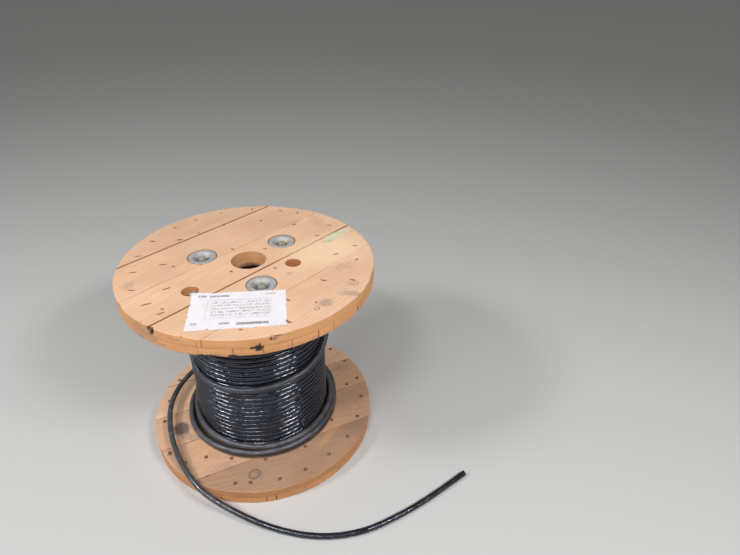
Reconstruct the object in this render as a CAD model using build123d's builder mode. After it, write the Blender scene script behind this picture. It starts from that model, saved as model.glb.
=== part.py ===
from build123d import *
import math
import os

# A wooden cable drum standing on end, in millimetres. The origin is the centre of its underside and
# Z is the drum's axis. The outer boards of the top flange run along X.
os.makedirs("parts", exist_ok=True)

# Flanges: two crossed plies of planks each, nailed together.
flange_diameter = 508.0
ply_thickness = 18.0
traverse = 364.0
tight_seam = 0.6
open_seam = 3.0
right_angle = 90.0

# Middle of each seam between planks as a share of the flange's radius, with the seam's width.
top_outer_seams = [(-0.5472, tight_seam), (-0.1835, open_seam), (0.2130, tight_seam), (0.6429, open_seam)]
top_inner_seams = [(share, tight_seam) for share in (-0.5591, -0.2441, 0.0748, 0.3937, 0.7126)]
bottom_inner_seams = [(share, tight_seam) for share in (-0.6024, -0.1870, 0.1969, 0.5787)]
bottom_outer_seams = [(share, tight_seam) for share in (-0.6614, -0.3425, -0.0197, 0.3031, 0.6299)]
top_outer_direction = 0.0
bottom_inner_direction = -23.1

# Core: a barrel of staves, round outside and flat inside, held between the flanges.
core_diameter = 250.0
stave_count = 12
stave_thickness = 17.0
stave_gap = 1.0

# Holes through the flanges: the arbor's, the drive pin's just inside the staves and, in the top flange
# only, the one for the cable's first end just outside them.
arbor_diameter = 70.0
drive_hole_diameter = 32.0
drive_hole_to_stave = 1.0
drive_hole_angle = -55.2
start_hole_diameter = 32.0
start_hole_to_core = 2.0
start_hole_angle = 183.3

# Tie bolts that clamp the flanges on the core, in dished washers.
bolt_count = 3
bolt_to_stave = 11.5
bolt_circle_angle = 5.0
bolt_diameter = 9.5
bolt_hole_clearance = 0.5
hex_width = 14.3
bolt_head_height = 6.3
nut_height = 8.3
nut_bore_clearance = 0.2
thread_above_nut = 1.6
washer_diameter = 55.0
washer_sheet = 2.0
washer_recess = 0.3
dish_mouth_radius = 19.0
dish_floor_radius = 10.5
dish_depth = 11.0
pocket_clearance = 0.3

# Cable: two tight layers on the core, one slack turn across them, a loose coil and the free tail.
cable_diameter = 12.0
layer_count = 2
layer_nesting = 1.2
winding_clearance = 0.3
turn_slack = 0.12
groove_share = 0.35
hoop_sides = 8
loose_coil_radius = 162.5
loose_coil_step = 5.0
loose_coil_offset = 5.5
loose_coil_offset_angle = 54.0
loose_coil_start_angle = 62.0
loose_coil_end_angle = 385.0
crossing_middle_height = 268.0
crossing_tilt = 15.0
crossing_low_angle = 222.0
tail_first_run = 76.0

flange_thickness = 2 * ply_thickness
overall_height = traverse + 2 * flange_thickness
top_flange_base = flange_thickness + traverse
flange_radius = flange_diameter / 2
cable_radius = cable_diameter / 2
core_radius = core_diameter / 2
stave_inside = core_radius - stave_thickness
bolt_circle_radius = stave_inside - bolt_to_stave
drive_hole_radius = stave_inside - drive_hole_to_stave - drive_hole_diameter / 2
start_hole_radius = core_radius + start_hole_to_core + start_hole_diameter / 2
top_face = Plane.XY.offset(overall_height)
bottom_face = Plane(origin=(0, 0, 0), x_dir=(1, 0, 0), z_dir=(0, 0, -1))
hangs_down = (Align.CENTER, Align.CENTER, Align.MAX)


def point_at(radius, angle):
    """A plan position given by its distance from the drum's axis and its angle from X."""
    return radius * math.cos(math.radians(angle)), radius * math.sin(math.radians(angle))


def plank_spans(seams):
    """The low and high edge of every plank of a ply, from its seams in order."""
    lows = [-flange_radius] + [share * flange_radius + width / 2 for share, width in seams]
    highs = [share * flange_radius - width / 2 for share, width in seams] + [flange_radius]
    return list(zip(lows, highs))


def make_plank(low, high, base, direction, has_start_hole=False, pocket_face=None):
    """One plank of a ply: a strip of the round flange with its share of the flange's holes."""
    middle = (low + high) / 2
    across = direction + right_angle
    with BuildPart() as plank:
        with BuildSketch(Plane.XY.offset(base)):
            Circle(flange_radius)
            with Locations(point_at(middle, across)):
                Rectangle(flange_diameter, high - low, rotation=direction, mode=Mode.INTERSECT)
            Circle(arbor_diameter / 2, mode=Mode.SUBTRACT)
            with Locations(point_at(drive_hole_radius, drive_hole_angle)):
                Circle(drive_hole_diameter / 2, mode=Mode.SUBTRACT)
            if has_start_hole:
                with Locations(point_at(start_hole_radius, start_hole_angle)):
                    Circle(start_hole_diameter / 2, mode=Mode.SUBTRACT)
            with PolarLocations(bolt_circle_radius, bolt_count, bolt_circle_angle):
                Circle(bolt_diameter / 2 + bolt_hole_clearance, mode=Mode.SUBTRACT)
        extrude(amount=ply_thickness)
        if pocket_face is not None:
            cut_washer_pockets(pocket_face)
    return plank.part


def cut_washer_pockets(face):
    """Cuts the seats of the dished washers into the plank being built, from its outer face."""
    rim_floor = washer_recess + washer_sheet
    dish_floor = rim_floor + dish_depth + pocket_clearance
    mouth = dish_mouth_radius + washer_sheet + pocket_clearance
    floor = dish_floor_radius + washer_sheet + pocket_clearance
    angle = bolt_circle_angle * face.z_dir.Z
    with Locations(face):
        with PolarLocations(bolt_circle_radius, bolt_count, angle):
            Cylinder(washer_diameter / 2 + pocket_clearance, rim_floor, align=hangs_down, mode=Mode.SUBTRACT)
            with Locations((0, 0, -rim_floor)):
                Cone(floor, mouth, dish_floor - rim_floor, align=hangs_down, mode=Mode.SUBTRACT)


def write(piece, name):
    """Labels a finished piece and writes its STEP file."""
    piece.label = name
    export_step(piece, f"parts/{name}.step")


# The four plies, from the top face down. Each flange's plies cross at a right angle.
top_inner_direction = top_outer_direction + right_angle
bottom_outer_direction = bottom_inner_direction + right_angle
plies = [
    ("top_outer_board", top_outer_seams, top_flange_base + ply_thickness, top_outer_direction, True, top_face),
    ("top_inner_board", top_inner_seams, top_flange_base, top_inner_direction, True, None),
    ("bottom_inner_board", bottom_inner_seams, ply_thickness, bottom_inner_direction, False, None),
    ("bottom_outer_board", bottom_outer_seams, 0, bottom_outer_direction, False, bottom_face),
]
for ply_name, seams, base, direction, has_start_hole, pocket_face in plies:
    for number, (low, high) in enumerate(plank_spans(seams), start=1):
        write(make_plank(low, high, base, direction, has_start_hole, pocket_face), f"{ply_name}_{number}")

# Barrel of staves, butted between the flanges.
with BuildPart() as core_staves:
    with BuildSketch(Plane.XY.offset(flange_thickness)):
        Circle(core_radius)
        RegularPolygon(stave_inside, stave_count, major_radius=False, mode=Mode.SUBTRACT)
        with PolarLocations(core_radius, stave_count):
            Rectangle(2 * stave_thickness, stave_gap, mode=Mode.SUBTRACT)
    extrude(amount=traverse)
write(core_staves.part, "core_staves")


def make_washer(face, angle):
    """A pressed dished washer: a flat rim, a cone and a flat floor with the bolt's hole."""
    rim_top = -washer_recess
    floor_top = rim_top - dish_depth
    centre = face.origin + Vector(*point_at(bolt_circle_radius, angle))
    plane = Plane(centre, x_dir=(1, 0, 0), z_dir=face.z_dir)
    bolt_hole = bolt_diameter / 2 + bolt_hole_clearance
    with BuildPart(plane) as washer:
        with BuildSketch(Plane(plane.origin, x_dir=plane.x_dir, z_dir=-plane.y_dir)):
            with BuildLine():
                Polyline(
                    (bolt_hole, floor_top),
                    (dish_floor_radius, floor_top),
                    (dish_mouth_radius, rim_top),
                    (washer_diameter / 2, rim_top),
                    (washer_diameter / 2, rim_top - washer_sheet),
                    (dish_mouth_radius + washer_sheet, rim_top - washer_sheet),
                    (dish_floor_radius + washer_sheet, floor_top - washer_sheet),
                    (bolt_hole, floor_top - washer_sheet),
                    close=True,
                )
            make_face()
        revolve(axis=Axis(plane.origin, plane.z_dir))
    return washer.part


def make_bolt(x, y):
    """A long bolt with its hexagon head in the bottom washer and its end above the top nut."""
    head_top = washer_recess + dish_depth
    shank_top = overall_height - head_top + nut_height + thread_above_nut
    with BuildPart() as bolt:
        with BuildSketch(Plane.XY.offset(head_top)):
            with Locations((x, y)):
                RegularPolygon(hex_width / 2, 6, major_radius=False)
        extrude(amount=-bolt_head_height)
        with BuildSketch(Plane.XY.offset(head_top)):
            with Locations((x, y)):
                Circle(bolt_diameter / 2)
        extrude(amount=shank_top - head_top)
    return bolt.part


def make_nut(x, y):
    """A hexagon nut on the floor of the top washer's dish."""
    with BuildPart() as nut:
        with BuildSketch(Plane.XY.offset(overall_height - washer_recess - dish_depth)):
            with Locations((x, y)):
                RegularPolygon(hex_width / 2, 6, major_radius=False)
                Circle(bolt_diameter / 2 + nut_bore_clearance, mode=Mode.SUBTRACT)
        extrude(amount=nut_height)
    return nut.part


for number in range(1, bolt_count + 1):
    angle = bolt_circle_angle + (number - 1) * 360 / bolt_count
    x, y = point_at(bolt_circle_radius, angle)
    write(make_bolt(x, y), f"tie_bolt_{number}")
    write(make_nut(x, y), f"tie_nut_{number}")
    write(make_washer(top_face, angle), f"top_dished_washer_{number}")
    write(make_washer(bottom_face, angle), f"bottom_dished_washer_{number}")

# The tight winding: a turned solid with its bore on the core, a ridge for every turn on its outside
# and a groove between the layers on its ends.
turn_pitch = cable_diameter + turn_slack
turn_count = int(traverse / turn_pitch)
winding_height = turn_count * turn_pitch
winding_bore = core_radius + winding_clearance
layer_spacing = cable_diameter - layer_nesting
winding_radius = winding_bore + cable_diameter + (layer_count - 1) * layer_spacing
groove_depth = groove_share * cable_diameter
ridges = []
for turn in range(turn_count):
    ridge_base = flange_thickness + turn * turn_pitch
    ridges.append((winding_radius - groove_depth, ridge_base))
    ridges.append((winding_radius, ridge_base + turn_pitch / 2))
ridges.append((winding_radius - groove_depth, flange_thickness + winding_height))
layer_edge = winding_bore + layer_spacing
bottom_end = [
    (winding_bore, flange_thickness),
    (layer_edge - cable_radius / 2, flange_thickness),
    (layer_edge, flange_thickness + cable_radius / 2),
    (layer_edge + cable_radius / 2, flange_thickness),
]
middle_height = flange_thickness + winding_height / 2
top_end = [(radius, 2 * middle_height - height) for radius, height in reversed(bottom_end)]
with BuildPart() as cable_winding:
    with BuildSketch(Plane.XZ):
        with BuildLine():
            Polyline(*bottom_end, *ridges, *top_end, close=True)
        make_face()
    revolve(axis=Axis.Z)
write(cable_winding.part, "cable_winding")

# The slack turn that lies across the winding, low at the front: a plain octagonal hoop.
lean = math.radians(crossing_tilt)
crossing_radius = (winding_radius + cable_radius + winding_clearance) / math.cos(lean)
crossing_x, crossing_y = point_at(1, crossing_low_angle)
crossing_plane = Plane(
    origin=(0, 0, crossing_middle_height),
    x_dir=(crossing_x * math.cos(lean), crossing_y * math.cos(lean), -math.sin(lean)),
    z_dir=(crossing_x * math.sin(lean), crossing_y * math.sin(lean), math.cos(lean)),
)
with BuildPart() as cable_crossing_turn:
    with BuildSketch(Plane(crossing_plane.origin, x_dir=crossing_plane.x_dir, z_dir=-crossing_plane.y_dir)):
        with Locations((crossing_radius, 0)):
            RegularPolygon(cable_radius, hoop_sides, rotation=180 / hoop_sides, major_radius=False)
    revolve(axis=Axis(crossing_plane.origin, crossing_plane.z_dir))
write(cable_crossing_turn.part, "cable_crossing_turn")

# The loose coil on the bottom flange, open at the back: an outer turn on the wood and an inner one that
# rides on it, against the winding. The tail leaves the end of the inner turn.
coil_x, coil_y = point_at(loose_coil_offset, loose_coil_offset_angle)
outer_turn = (loose_coil_radius + loose_coil_step / 2, cable_radius)
inner_turn = (loose_coil_radius - loose_coil_step / 2, cable_radius + layer_spacing)
start_x, start_y = point_at(1, loose_coil_start_angle)
coil_section = Plane(
    origin=(coil_x, coil_y, flange_thickness),
    x_dir=(start_x, start_y, 0),
    z_dir=(start_y, -start_x, 0),
)
coil_arc = loose_coil_end_angle - loose_coil_start_angle
with BuildPart() as cable_loose_turns:
    with BuildSketch(coil_section):
        with Locations(outer_turn, inner_turn):
            RegularPolygon(cable_radius, hoop_sides, rotation=180 / hoop_sides, major_radius=False)
    revolve(axis=Axis((coil_x, coil_y, 0), (0, 0, 1)), revolution_arc=coil_arc)
write(cable_loose_turns.part, "cable_loose_turns")

# The free tail: straight runs with tangent arcs. It leaves the coil's end square to its face, goes round
# the back and the left of the winding, over the bottom flange's edge and along the floor to a bare end.
leave_x, leave_y = point_at(inner_turn[0], loose_coil_end_angle)
ahead_x, ahead_y = point_at(tail_first_run, loose_coil_end_angle + right_angle)
tail_start_height = flange_thickness + inner_turn[1]
tail_route = [
    (coil_x + leave_x, coil_y + leave_y, tail_start_height),
    (coil_x + leave_x + ahead_x, coil_y + leave_y + ahead_y, tail_start_height),
    (56, 190, flange_thickness + 18.0),
    (-25, 208, flange_thickness + 20.0),
    (-100, 190, flange_thickness + 20.0),
    (-163, 148, flange_thickness + 20.0),
    (-207, 84, flange_thickness + 19.0),
    (-233, 18, flange_thickness + 18.0),
    (-247, -56, flange_thickness + 16.0),
    (-249, -120, flange_thickness + 9.0),
    (-236, -178, flange_thickness - 7.0),
    (-206, -248, cable_radius + 4.0),
    (-160, -324, cable_radius + 0.5),
    (-94, -387, cable_radius + 0.2),
    (-13, -423, cable_radius),
    (73, -450, cable_radius),
    (159, -469.2, cable_radius),
]
tail_points = [Vector(*point) for point in tail_route]
arc_radii = []
for before, corner, after in zip(tail_points, tail_points[1:], tail_points[2:]):
    turn = (corner - before).get_angle(after - corner)
    shorter_run = min((corner - before).length, (after - corner).length)
    arc_radii.append(0.45 * shorter_run / math.tan(math.radians(turn) / 2))
print("runs", [round((b - a).length) for a, b in zip(tail_points, tail_points[1:])])
print("arc radii", [round(radius) for radius in arc_radii])
with BuildPart() as cable_tail:
    with BuildLine() as tail_path:
        FilletPolyline(*tail_points, radius=arc_radii)
    with BuildSketch(Plane(tail_points[0], z_dir=tail_points[1] - tail_points[0])):
        Circle(cable_radius)
    sweep(path=tail_path.line)
write(cable_tail.part, "cable_tail")
tail_length = tail_path.wire().length
tail_volume = math.pi * cable_radius**2 * tail_length
print("tail start", [round(value, 2) for value in tail_route[0]], [round(value, 2) for value in tail_route[1]])
print("tail length", round(tail_length, 1), "volume ratio", round(cable_tail.part.volume / tail_volume, 5))
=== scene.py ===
import bpy
import bmesh
import math
import numpy as np
from mathutils import Matrix, Vector


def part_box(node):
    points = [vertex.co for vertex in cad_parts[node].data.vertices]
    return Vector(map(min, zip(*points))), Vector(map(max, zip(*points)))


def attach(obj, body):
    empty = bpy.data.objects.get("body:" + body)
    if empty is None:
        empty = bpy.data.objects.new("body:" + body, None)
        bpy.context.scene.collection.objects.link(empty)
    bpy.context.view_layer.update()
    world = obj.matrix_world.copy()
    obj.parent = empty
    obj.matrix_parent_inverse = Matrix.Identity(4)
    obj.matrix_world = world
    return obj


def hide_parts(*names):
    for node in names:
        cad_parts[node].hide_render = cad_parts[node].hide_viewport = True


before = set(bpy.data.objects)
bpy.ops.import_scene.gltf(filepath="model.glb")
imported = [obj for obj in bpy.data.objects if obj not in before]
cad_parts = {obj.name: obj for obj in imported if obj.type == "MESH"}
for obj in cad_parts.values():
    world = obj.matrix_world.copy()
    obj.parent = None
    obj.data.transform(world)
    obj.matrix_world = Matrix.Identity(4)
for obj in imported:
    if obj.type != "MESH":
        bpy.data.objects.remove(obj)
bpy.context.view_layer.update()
scene = bpy.context.scene
mm = 0.001
print("frame loaded:", len(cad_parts), "nodes")

# Sizes that the pieces share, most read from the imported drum: in metres, and places as (distance from the axis
# in mm, angle in degrees).
drum = {
    "flangeRadius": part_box("top_outer_board_3")[1].x,
    "topFace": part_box("top_outer_board_3")[1].z,
    "topSplit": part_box("top_outer_board_3")[0].z,
    "topInside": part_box("top_inner_board_3")[0].z,
    "bottomInside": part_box("bottom_inner_board_3")[1].z,
    "bottomSplit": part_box("bottom_inner_board_3")[0].z,
    "arborRadius": 35 * mm,
    "pinRadius": 16 * mm,
    "drivePlace": (91.0, -55.2),
    "startPlace": (143.0, 183.3),
    "boltPlaces": [(96.5, 5.0), (96.5, 125.0), (96.5, 245.0)],
    "bottomFace": 0.0,
}


def polar(distance, angle):
    # x and y (m) of a place that lies distance (mm) from the axis, angle degrees round from +X
    return distance * mm * math.cos(math.radians(angle)), distance * mm * math.sin(math.radians(angle))


def newObject(name, data):
    # an object of that mesh, curve, light or camera, in the scene
    item = bpy.data.objects.new(name, data)
    scene.collection.objects.link(item)
    return item


# Camera: fitted to the photograph, 740 by 555 pixels, focal length 518.3 pixels.
camera = {
    "place": (-0.54271, -0.75525, 0.98250),
    "yaw": 0.8913763,
    "pitch": 0.5755253,
    "roll": -0.0272682,
    "focalPixels": 518.319,
    "imageWidth": 740,
    "sensorWidth": 36,
}
viewAhead = Vector((
    math.sin(camera["yaw"]) * math.cos(camera["pitch"]),
    math.cos(camera["yaw"]) * math.cos(camera["pitch"]),
    -math.sin(camera["pitch"]),
))
viewRight = viewAhead.cross(Vector((0, 0, 1))).normalized()
viewDown = viewAhead.cross(viewRight)
turnedRight = viewRight * math.cos(camera["roll"]) + viewDown * math.sin(camera["roll"])
turnedDown = -viewRight * math.sin(camera["roll"]) + viewDown * math.cos(camera["roll"])
camData = bpy.data.cameras.new("photoCamera")
camData.sensor_width = camera["sensorWidth"]
camData.lens = camera["focalPixels"] * camera["sensorWidth"] / camera["imageWidth"]
camData.clip_start = 0.02
cam = newObject("photoCamera", camData)
turn = Matrix((turnedRight, -turnedDown, -viewAhead)).transposed().to_4x4()
cam.matrix_world = Matrix.Translation(camera["place"]) @ turn
scene.camera = cam
print("camera made")

# The cable: one length, in mm and degrees. It starts at the top of the core, runs down in the inner layer,
# up in the outer one, leaves the top as a slack turn that sags across the front, drops down the back,
# goes twice round near the bottom flange and ends in the free tail.
cable = {
    "diameter": 12.0,
    "tightDiameter": 12.16,             # where the turns press on each other
    "innerRadius": 131.3,
    "outerRadius": 142.1,
    "startAngle": 183.3,
    "topHeight": 394.0,
    "turnsPerLayer": 29,
    "pitch": 12.12,
    "pointsPerTurn": 14,
    "wander": 0.35,                     # how far a tight turn strays, in mm
    "climbRadius": 136.7,               # where it climbs from the inner layer to the outer one
    "swell": (2.8, 155.0, 42.0, 105.0, 38.0),    # mm; middle and width of its bell in degrees, then in height
    "length": 54.7,                     # metres
    "resolution": 5,                    # steps from one point to the next
    "bevelResolution": 6,
}
# The slack turn and the drop down the back: angle, distance from the axis, height of places it passes through.
slackTurn = [
    (20, 147, 391), (38, 151, 385), (55, 152, 375), (72, 151, 362), (90, 149, 346), (108, 147, 326),
    (126, 145.5, 303), (141, 144.5, 282), (153, 144.5, 265), (163, 145, 249), (170, 147, 238),
    (178, 150, 229.5), (188, 152.5, 226.5), (200, 154, 223.5), (214, 154.6, 223), (229, 154.6, 224.5),
    (245, 154.6, 228), (262, 154.6, 231), (276, 154.6, 236), (288, 154.6, 245), (299, 154.8, 258),
    (311, 155, 277), (324, 155.5, 293), (338, 156, 302), (353, 156, 298), (368, 156.5, 277), (382, 157, 240),
    (395, 158, 196), (407, 160, 152), (419, 163, 115), (432, 166, 88), (447, 165.5, 71),
]
# The two loose turns: first the inner one, raised against the winding, then the outer one on the flange.
looseTurns = [
    (463, 162, 64), (480, 159.5, 62), (497, 156.6, 61.5), (513, 155.0, 61.5), (530, 155.3, 61.5),
    (546, 156.6, 61), (560, 156.2, 59), (572, 155.1, 56), (585, 154.5, 53.5), (600, 154.6, 52.5),
    (618, 154.6, 52.5), (636, 154.6, 52.5), (654, 155, 52.5), (668, 156.5, 52), (680, 158.5, 51),
    (692, 161, 50), (706, 164.5, 48), (722, 167.5, 45), (740, 169.5, 43), (758, 171, 42), (776, 172, 42),
    (794, 172.8, 42), (812, 173.5, 42), (830, 173.8, 42), (846, 173.7, 42), (860, 172.6, 42), (874, 171.3, 42),
    (886, 170.3, 42), (897, 168.4, 42), (907, 165.9, 42), (918, 163.2, 42), (930, 161.8, 42), (944, 161.6, 42),
    (958, 161, 42), (972, 160.8, 42), (986, 160.8, 42), (1000, 161.4, 42), (1014, 162.5, 42),
    (1028, 164.2, 42), (1042, 167.2, 42), (1054, 171.4, 42), (1066, 175.8, 42.6), (1080, 179.5, 44),
    (1096, 181.5, 45.5), (1112, 184, 48), (1130, 189, 51),
]
# The tail: the route of the free end, in mm.
tailRoute = np.array([
    (56, 190, 54), (-25, 208, 56), (-100, 190, 56), (-163, 148, 56), (-207, 84, 55), (-235.5, 15, 54),
    (-250.5, -50, 48), (-252, -108, 40.5), (-233, -168, 23.5), (-205, -240, 9), (-160, -324, 6.5),
    (-94, -387, 6.2), (-13, -423, 6), (73, -450, 6), (159, -469.2, 6),
])


def tightLayer(fromAngle, radius, fromHeight, rise):
    # one layer's helix: the angle grows evenly, the height by rise x pitch a turn, and the radius strays
    # by a sum of three slow waves; points stand outside the circle by 1 / cos(half a step)
    count = cable["turnsPerLayer"] * cable["pointsPerTurn"] + 1
    turnsDone = np.arange(count) / cable["pointsPerTurn"]
    angle = np.radians(fromAngle) + 2 * np.pi * turnsDone
    stray = np.sin(5.3 * turnsDone + radius) + np.sin(11.7 * turnsDone + 1.3) + np.sin(23.9 * turnsDone + 0.4)
    reach = (radius + cable["wander"] * stray / 1.7) / math.cos(math.pi / cable["pointsPerTurn"])
    height = fromHeight + rise * cable["pitch"] * turnsDone
    endsHeld = np.sin(np.pi * turnsDone / turnsDone[-1])
    height += 0.6 * cable["wander"] * np.sin(7.1 * turnsDone + 2.0 * radius) * endsHeld
    return np.column_stack((reach * np.cos(angle), reach * np.sin(angle), height))


def turnsThrough(places):
    # places given as (angle, distance, height); the curve of order 3 passes (before + 6 x point + after) / 8
    # beside each of its points, so the points are the answer of that set of equations
    angle, distance, height = np.array(places, float).T
    turned = np.radians(angle)
    wanted = np.column_stack((distance * np.cos(turned), distance * np.sin(turned), height))
    count = len(wanted)
    weights = (6 * np.eye(count) + np.eye(count, k=1) + np.eye(count, k=-1)) / 8
    weights[0], weights[-1] = np.eye(count)[0], np.eye(count)[-1]
    return np.linalg.solve(weights, wanted)


layerDrop = cable["pitch"] * cable["turnsPerLayer"]
innerLayer = tightLayer(cable["startAngle"], cable["innerRadius"], cable["topHeight"], -1)
outerLayer = tightLayer(cable["startAngle"] + 180, cable["outerRadius"], cable["topHeight"] - layerDrop, 1)
# The outer layer's lower turns are fatter on one side, by a bell of the angle and one of the height.
swell, swellAngle, swellWidth, swellHeight, swellDepth = cable["swell"]
outerAngle = np.degrees(np.arctan2(outerLayer[:, 1], outerLayer[:, 0])) % 360
bell = np.exp(-((outerAngle - swellAngle) / swellWidth) ** 2 - ((outerLayer[:, 2] - swellHeight) / swellDepth) ** 2)
outerLayer[:, :2] *= (1 + swell / cable["outerRadius"] * bell)[:, None]
climbX, climbY = polar(cable["climbRadius"], cable["startAngle"] + 90)
climbPoint = [(climbX / mm, climbY / mm, cable["topHeight"] - layerDrop)]
loosePart = turnsThrough(slackTurn + looseTurns)
tightPart = np.vstack((innerLayer, climbPoint, outerLayer))
cablePoints = np.vstack((tightPart, loosePart, tailRoute)) * mm
cableRadii = np.full(len(cablePoints), cable["diameter"] / 2 * mm)
cableRadii[:len(tightPart)] = cable["tightDiameter"] / 2 * mm

cableCurve = bpy.data.curves.new("power_cable", "CURVE")
cableCurve.dimensions = "3D"
spline = cableCurve.splines.new("NURBS")
spline.points.add(len(cablePoints) - 1)
spline.points.foreach_set("co", np.column_stack((cablePoints, np.ones(len(cablePoints)))).ravel())
spline.points.foreach_set("radius", cableRadii)
spline.order_u = 3
spline.use_endpoint_u = True
cableCurve.resolution_u = cable["resolution"]
cableCurve.bevel_depth = 1.0          # the points carry the radius, so that the bounds are true
cableCurve.bevel_resolution = cable["bevelResolution"]
cableCurve.use_fill_caps = True
powerCable = newObject("power_cable", cableCurve)
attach(powerCable, "root")
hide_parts("cable_winding", "cable_crossing_turn", "cable_loose_turns", "cable_tail")
print("cable laid:", len(cablePoints), "points")


# Mesh helpers.
smoothLimit = math.radians(35)
weldDistance = 2e-6


def quadsOf(rows, columns, first=0, aroundColumns=False):
    # faces of a grid of rows x columns points, numbered row by row from first
    across = columns if aroundColumns else columns - 1
    row, column = np.meshgrid(np.arange(rows - 1), np.arange(across), indexing="ij")
    nextColumn = (column + 1) % columns
    corners = (row * columns + column, row * columns + nextColumn,
               (row + 1) * columns + nextColumn, (row + 1) * columns + column)
    return np.stack([first + corner.ravel() for corner in corners], axis=1)


def makeMesh(name, points, faces):
    # welds the points that meet, turns the faces outwards and shades them smooth
    mesh = bpy.data.meshes.new(name)
    mesh.from_pydata(points.tolist(), [], faces.tolist() if hasattr(faces, "tolist") else faces)
    work = bmesh.new()
    work.from_mesh(mesh)
    bmesh.ops.remove_doubles(work, verts=work.verts, dist=weldDistance)
    bmesh.ops.dissolve_degenerate(work, edges=work.edges, dist=1e-7)
    bmesh.ops.recalc_face_normals(work, faces=work.faces)
    work.to_mesh(mesh)
    work.free()
    shadeSmooth(mesh)
    return mesh


def shadeSmooth(mesh):
    # smooth all over, but for the edges sharper than the limit
    mesh.polygons.foreach_set("use_smooth", np.ones(len(mesh.polygons), bool))
    mesh.set_sharp_from_angle(angle=smoothLimit)


def addPiece(name, shape, material, slotName, *nodes):
    # a piece of a finished mesh, or of (points, faces), that rides the drum and stands for the named nodes
    mesh = shape if isinstance(shape, bpy.types.Mesh) else makeMesh(name, *shape)
    piece = newObject(name, mesh)
    mesh.materials.clear()
    mesh.materials.append(material)
    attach(piece, "root")
    if nodes:
        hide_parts(*nodes)
    return piece


def gridSurface(x, y, z):
    # a grid of points from three arrays that spread over each other, and its faces
    x, y, z = np.broadcast_arrays(x, y, z)
    return np.stack((x, y, z), 2).reshape(-1, 3), quadsOf(*x.shape)


def ringAt(radius, angle, height):
    # one ring of points round the axis; its radius and height may change with the angle
    return np.column_stack((radius * np.cos(angle), radius * np.sin(angle), np.zeros_like(angle) + height))


def stackedRings(rings, place):
    # rings (mm), one above the other, as a surface about the place of a bolt or hole
    return np.vstack(rings) * mm + np.array((*place, 0)), quadsOf(len(rings), len(rings[0]), aroundColumns=True)


def fromFace(profile, face, outward):
    # a profile of (radius, height over a face) in mm, taken to metres; outward is -1 where the face looks down
    profile = np.array(profile, float)
    return np.column_stack((profile[:, 0], face / mm + outward * profile[:, 1])) * mm


def turnedSurface(profile, centre, steps):
    # a profile of (radius, height) carried round the vertical line through centre; a radius of 0 is a pole
    profile = np.array(profile, float)
    angle = np.arange(steps) * 2 * np.pi / steps
    x = centre[0] + profile[:, :1] * np.cos(angle)
    y = centre[1] + profile[:, :1] * np.sin(angle)
    z = np.repeat(profile[:, 1:], steps, axis=1)
    points = np.stack((x, y, z), axis=2).reshape(-1, 3)
    return points, quadsOf(len(profile), steps, aroundColumns=True)


def joined(surfaces):
    # several surfaces as one list of points and one of faces
    points, faces, first = [], [], 0
    for surfacePoints, surfaceFaces in surfaces:
        points.append(surfacePoints)
        faces.append(surfaceFaces + first)
        first += len(surfacePoints)
    return np.vstack(points), np.vstack(faces)


# Materials.
def newMaterial(name):
    material = bpy.data.materials.new(name)
    material.use_nodes = True
    tree = material.node_tree
    return material, tree, tree.nodes["Principled BSDF"]


def addNode(tree, kind, inputs=(), **settings):
    # a node of that kind, its settings and its inputs, each a value or another node's output
    node = tree.nodes.new(kind)
    for name, value in settings.items():
        setattr(node, name, value)
    for key, value in dict(inputs).items():
        if isinstance(value, bpy.types.NodeSocket):
            tree.links.new(value, node.inputs[key])
        else:
            node.inputs[key].default_value = value
    return node


def sums(tree, operation, *values):
    # one Math node
    return addNode(tree, "ShaderNodeMath", dict(enumerate(values)), operation=operation).outputs[0]


def product(tree, *values):
    # all the values multiplied
    result = values[0]
    for value in values[1:]:
        result = sums(tree, "MULTIPLY", result, value)
    return result


def apart(tree, value, middle):
    # how far the value lies from the middle, on either side
    return sums(tree, "ABSOLUTE", sums(tree, "SUBTRACT", value, middle))


def objectPlace(tree):
    return addNode(tree, "ShaderNodeTexCoord").outputs["Object"]


def mapped(tree, place, kind, **inputs):
    return addNode(tree, "ShaderNodeMapping", {"Vector": place, **inputs}, vector_type=kind).outputs[0]


def stretched(tree, place, factors):
    # a place with each coordinate times its own factor
    return addNode(tree, "ShaderNodeVectorMath", {0: place, 1: factors}, operation="MULTIPLY").outputs[0]


def lengthOf(tree, place):
    return addNode(tree, "ShaderNodeVectorMath", {0: place}, operation="LENGTH").outputs["Value"]


def partsOf(tree, place):
    # x, y and z of a place
    return addNode(tree, "ShaderNodeSeparateXYZ", {0: place}).outputs


def dented(tree, shader, strength, distance, height):
    # fine relief that only turns the normal
    bump = addNode(tree, "ShaderNodeBump", {"Strength": strength, "Distance": distance, "Height": height})
    tree.links.new(bump.outputs[0], shader.inputs["Normal"])


def timesColour(colour, factors):
    # a colour with each channel times its own factor
    return tuple(channel * factor for channel, factor in zip(colour, factors)) + (1,)


def mixColour(tree, share, first, second, blend="MIX"):
    # first x (1 - share) + second x share
    node = addNode(tree, "ShaderNodeMix", {0: share, 6: first, 7: second}, data_type="RGBA", blend_type=blend)
    return node.outputs[2]


def between(tree, value, low, high, toLow=0.0, toHigh=1.0):
    # value taken from low..high to toLow..toHigh along a smooth step
    inputs = {0: value, 1: low, 2: high, 3: toLow, 4: toHigh}
    return addNode(tree, "ShaderNodeMapRange", inputs, interpolation_type="SMOOTHSTEP").outputs[0]


def noise(tree, place, scale, detail=3.0, roughness=0.5):
    # soft random values round 0.5
    inputs = {"Vector": place, "Scale": scale, "Detail": detail, "Roughness": roughness}
    return addNode(tree, "ShaderNodeTexNoise", inputs).outputs["Fac"]


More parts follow.
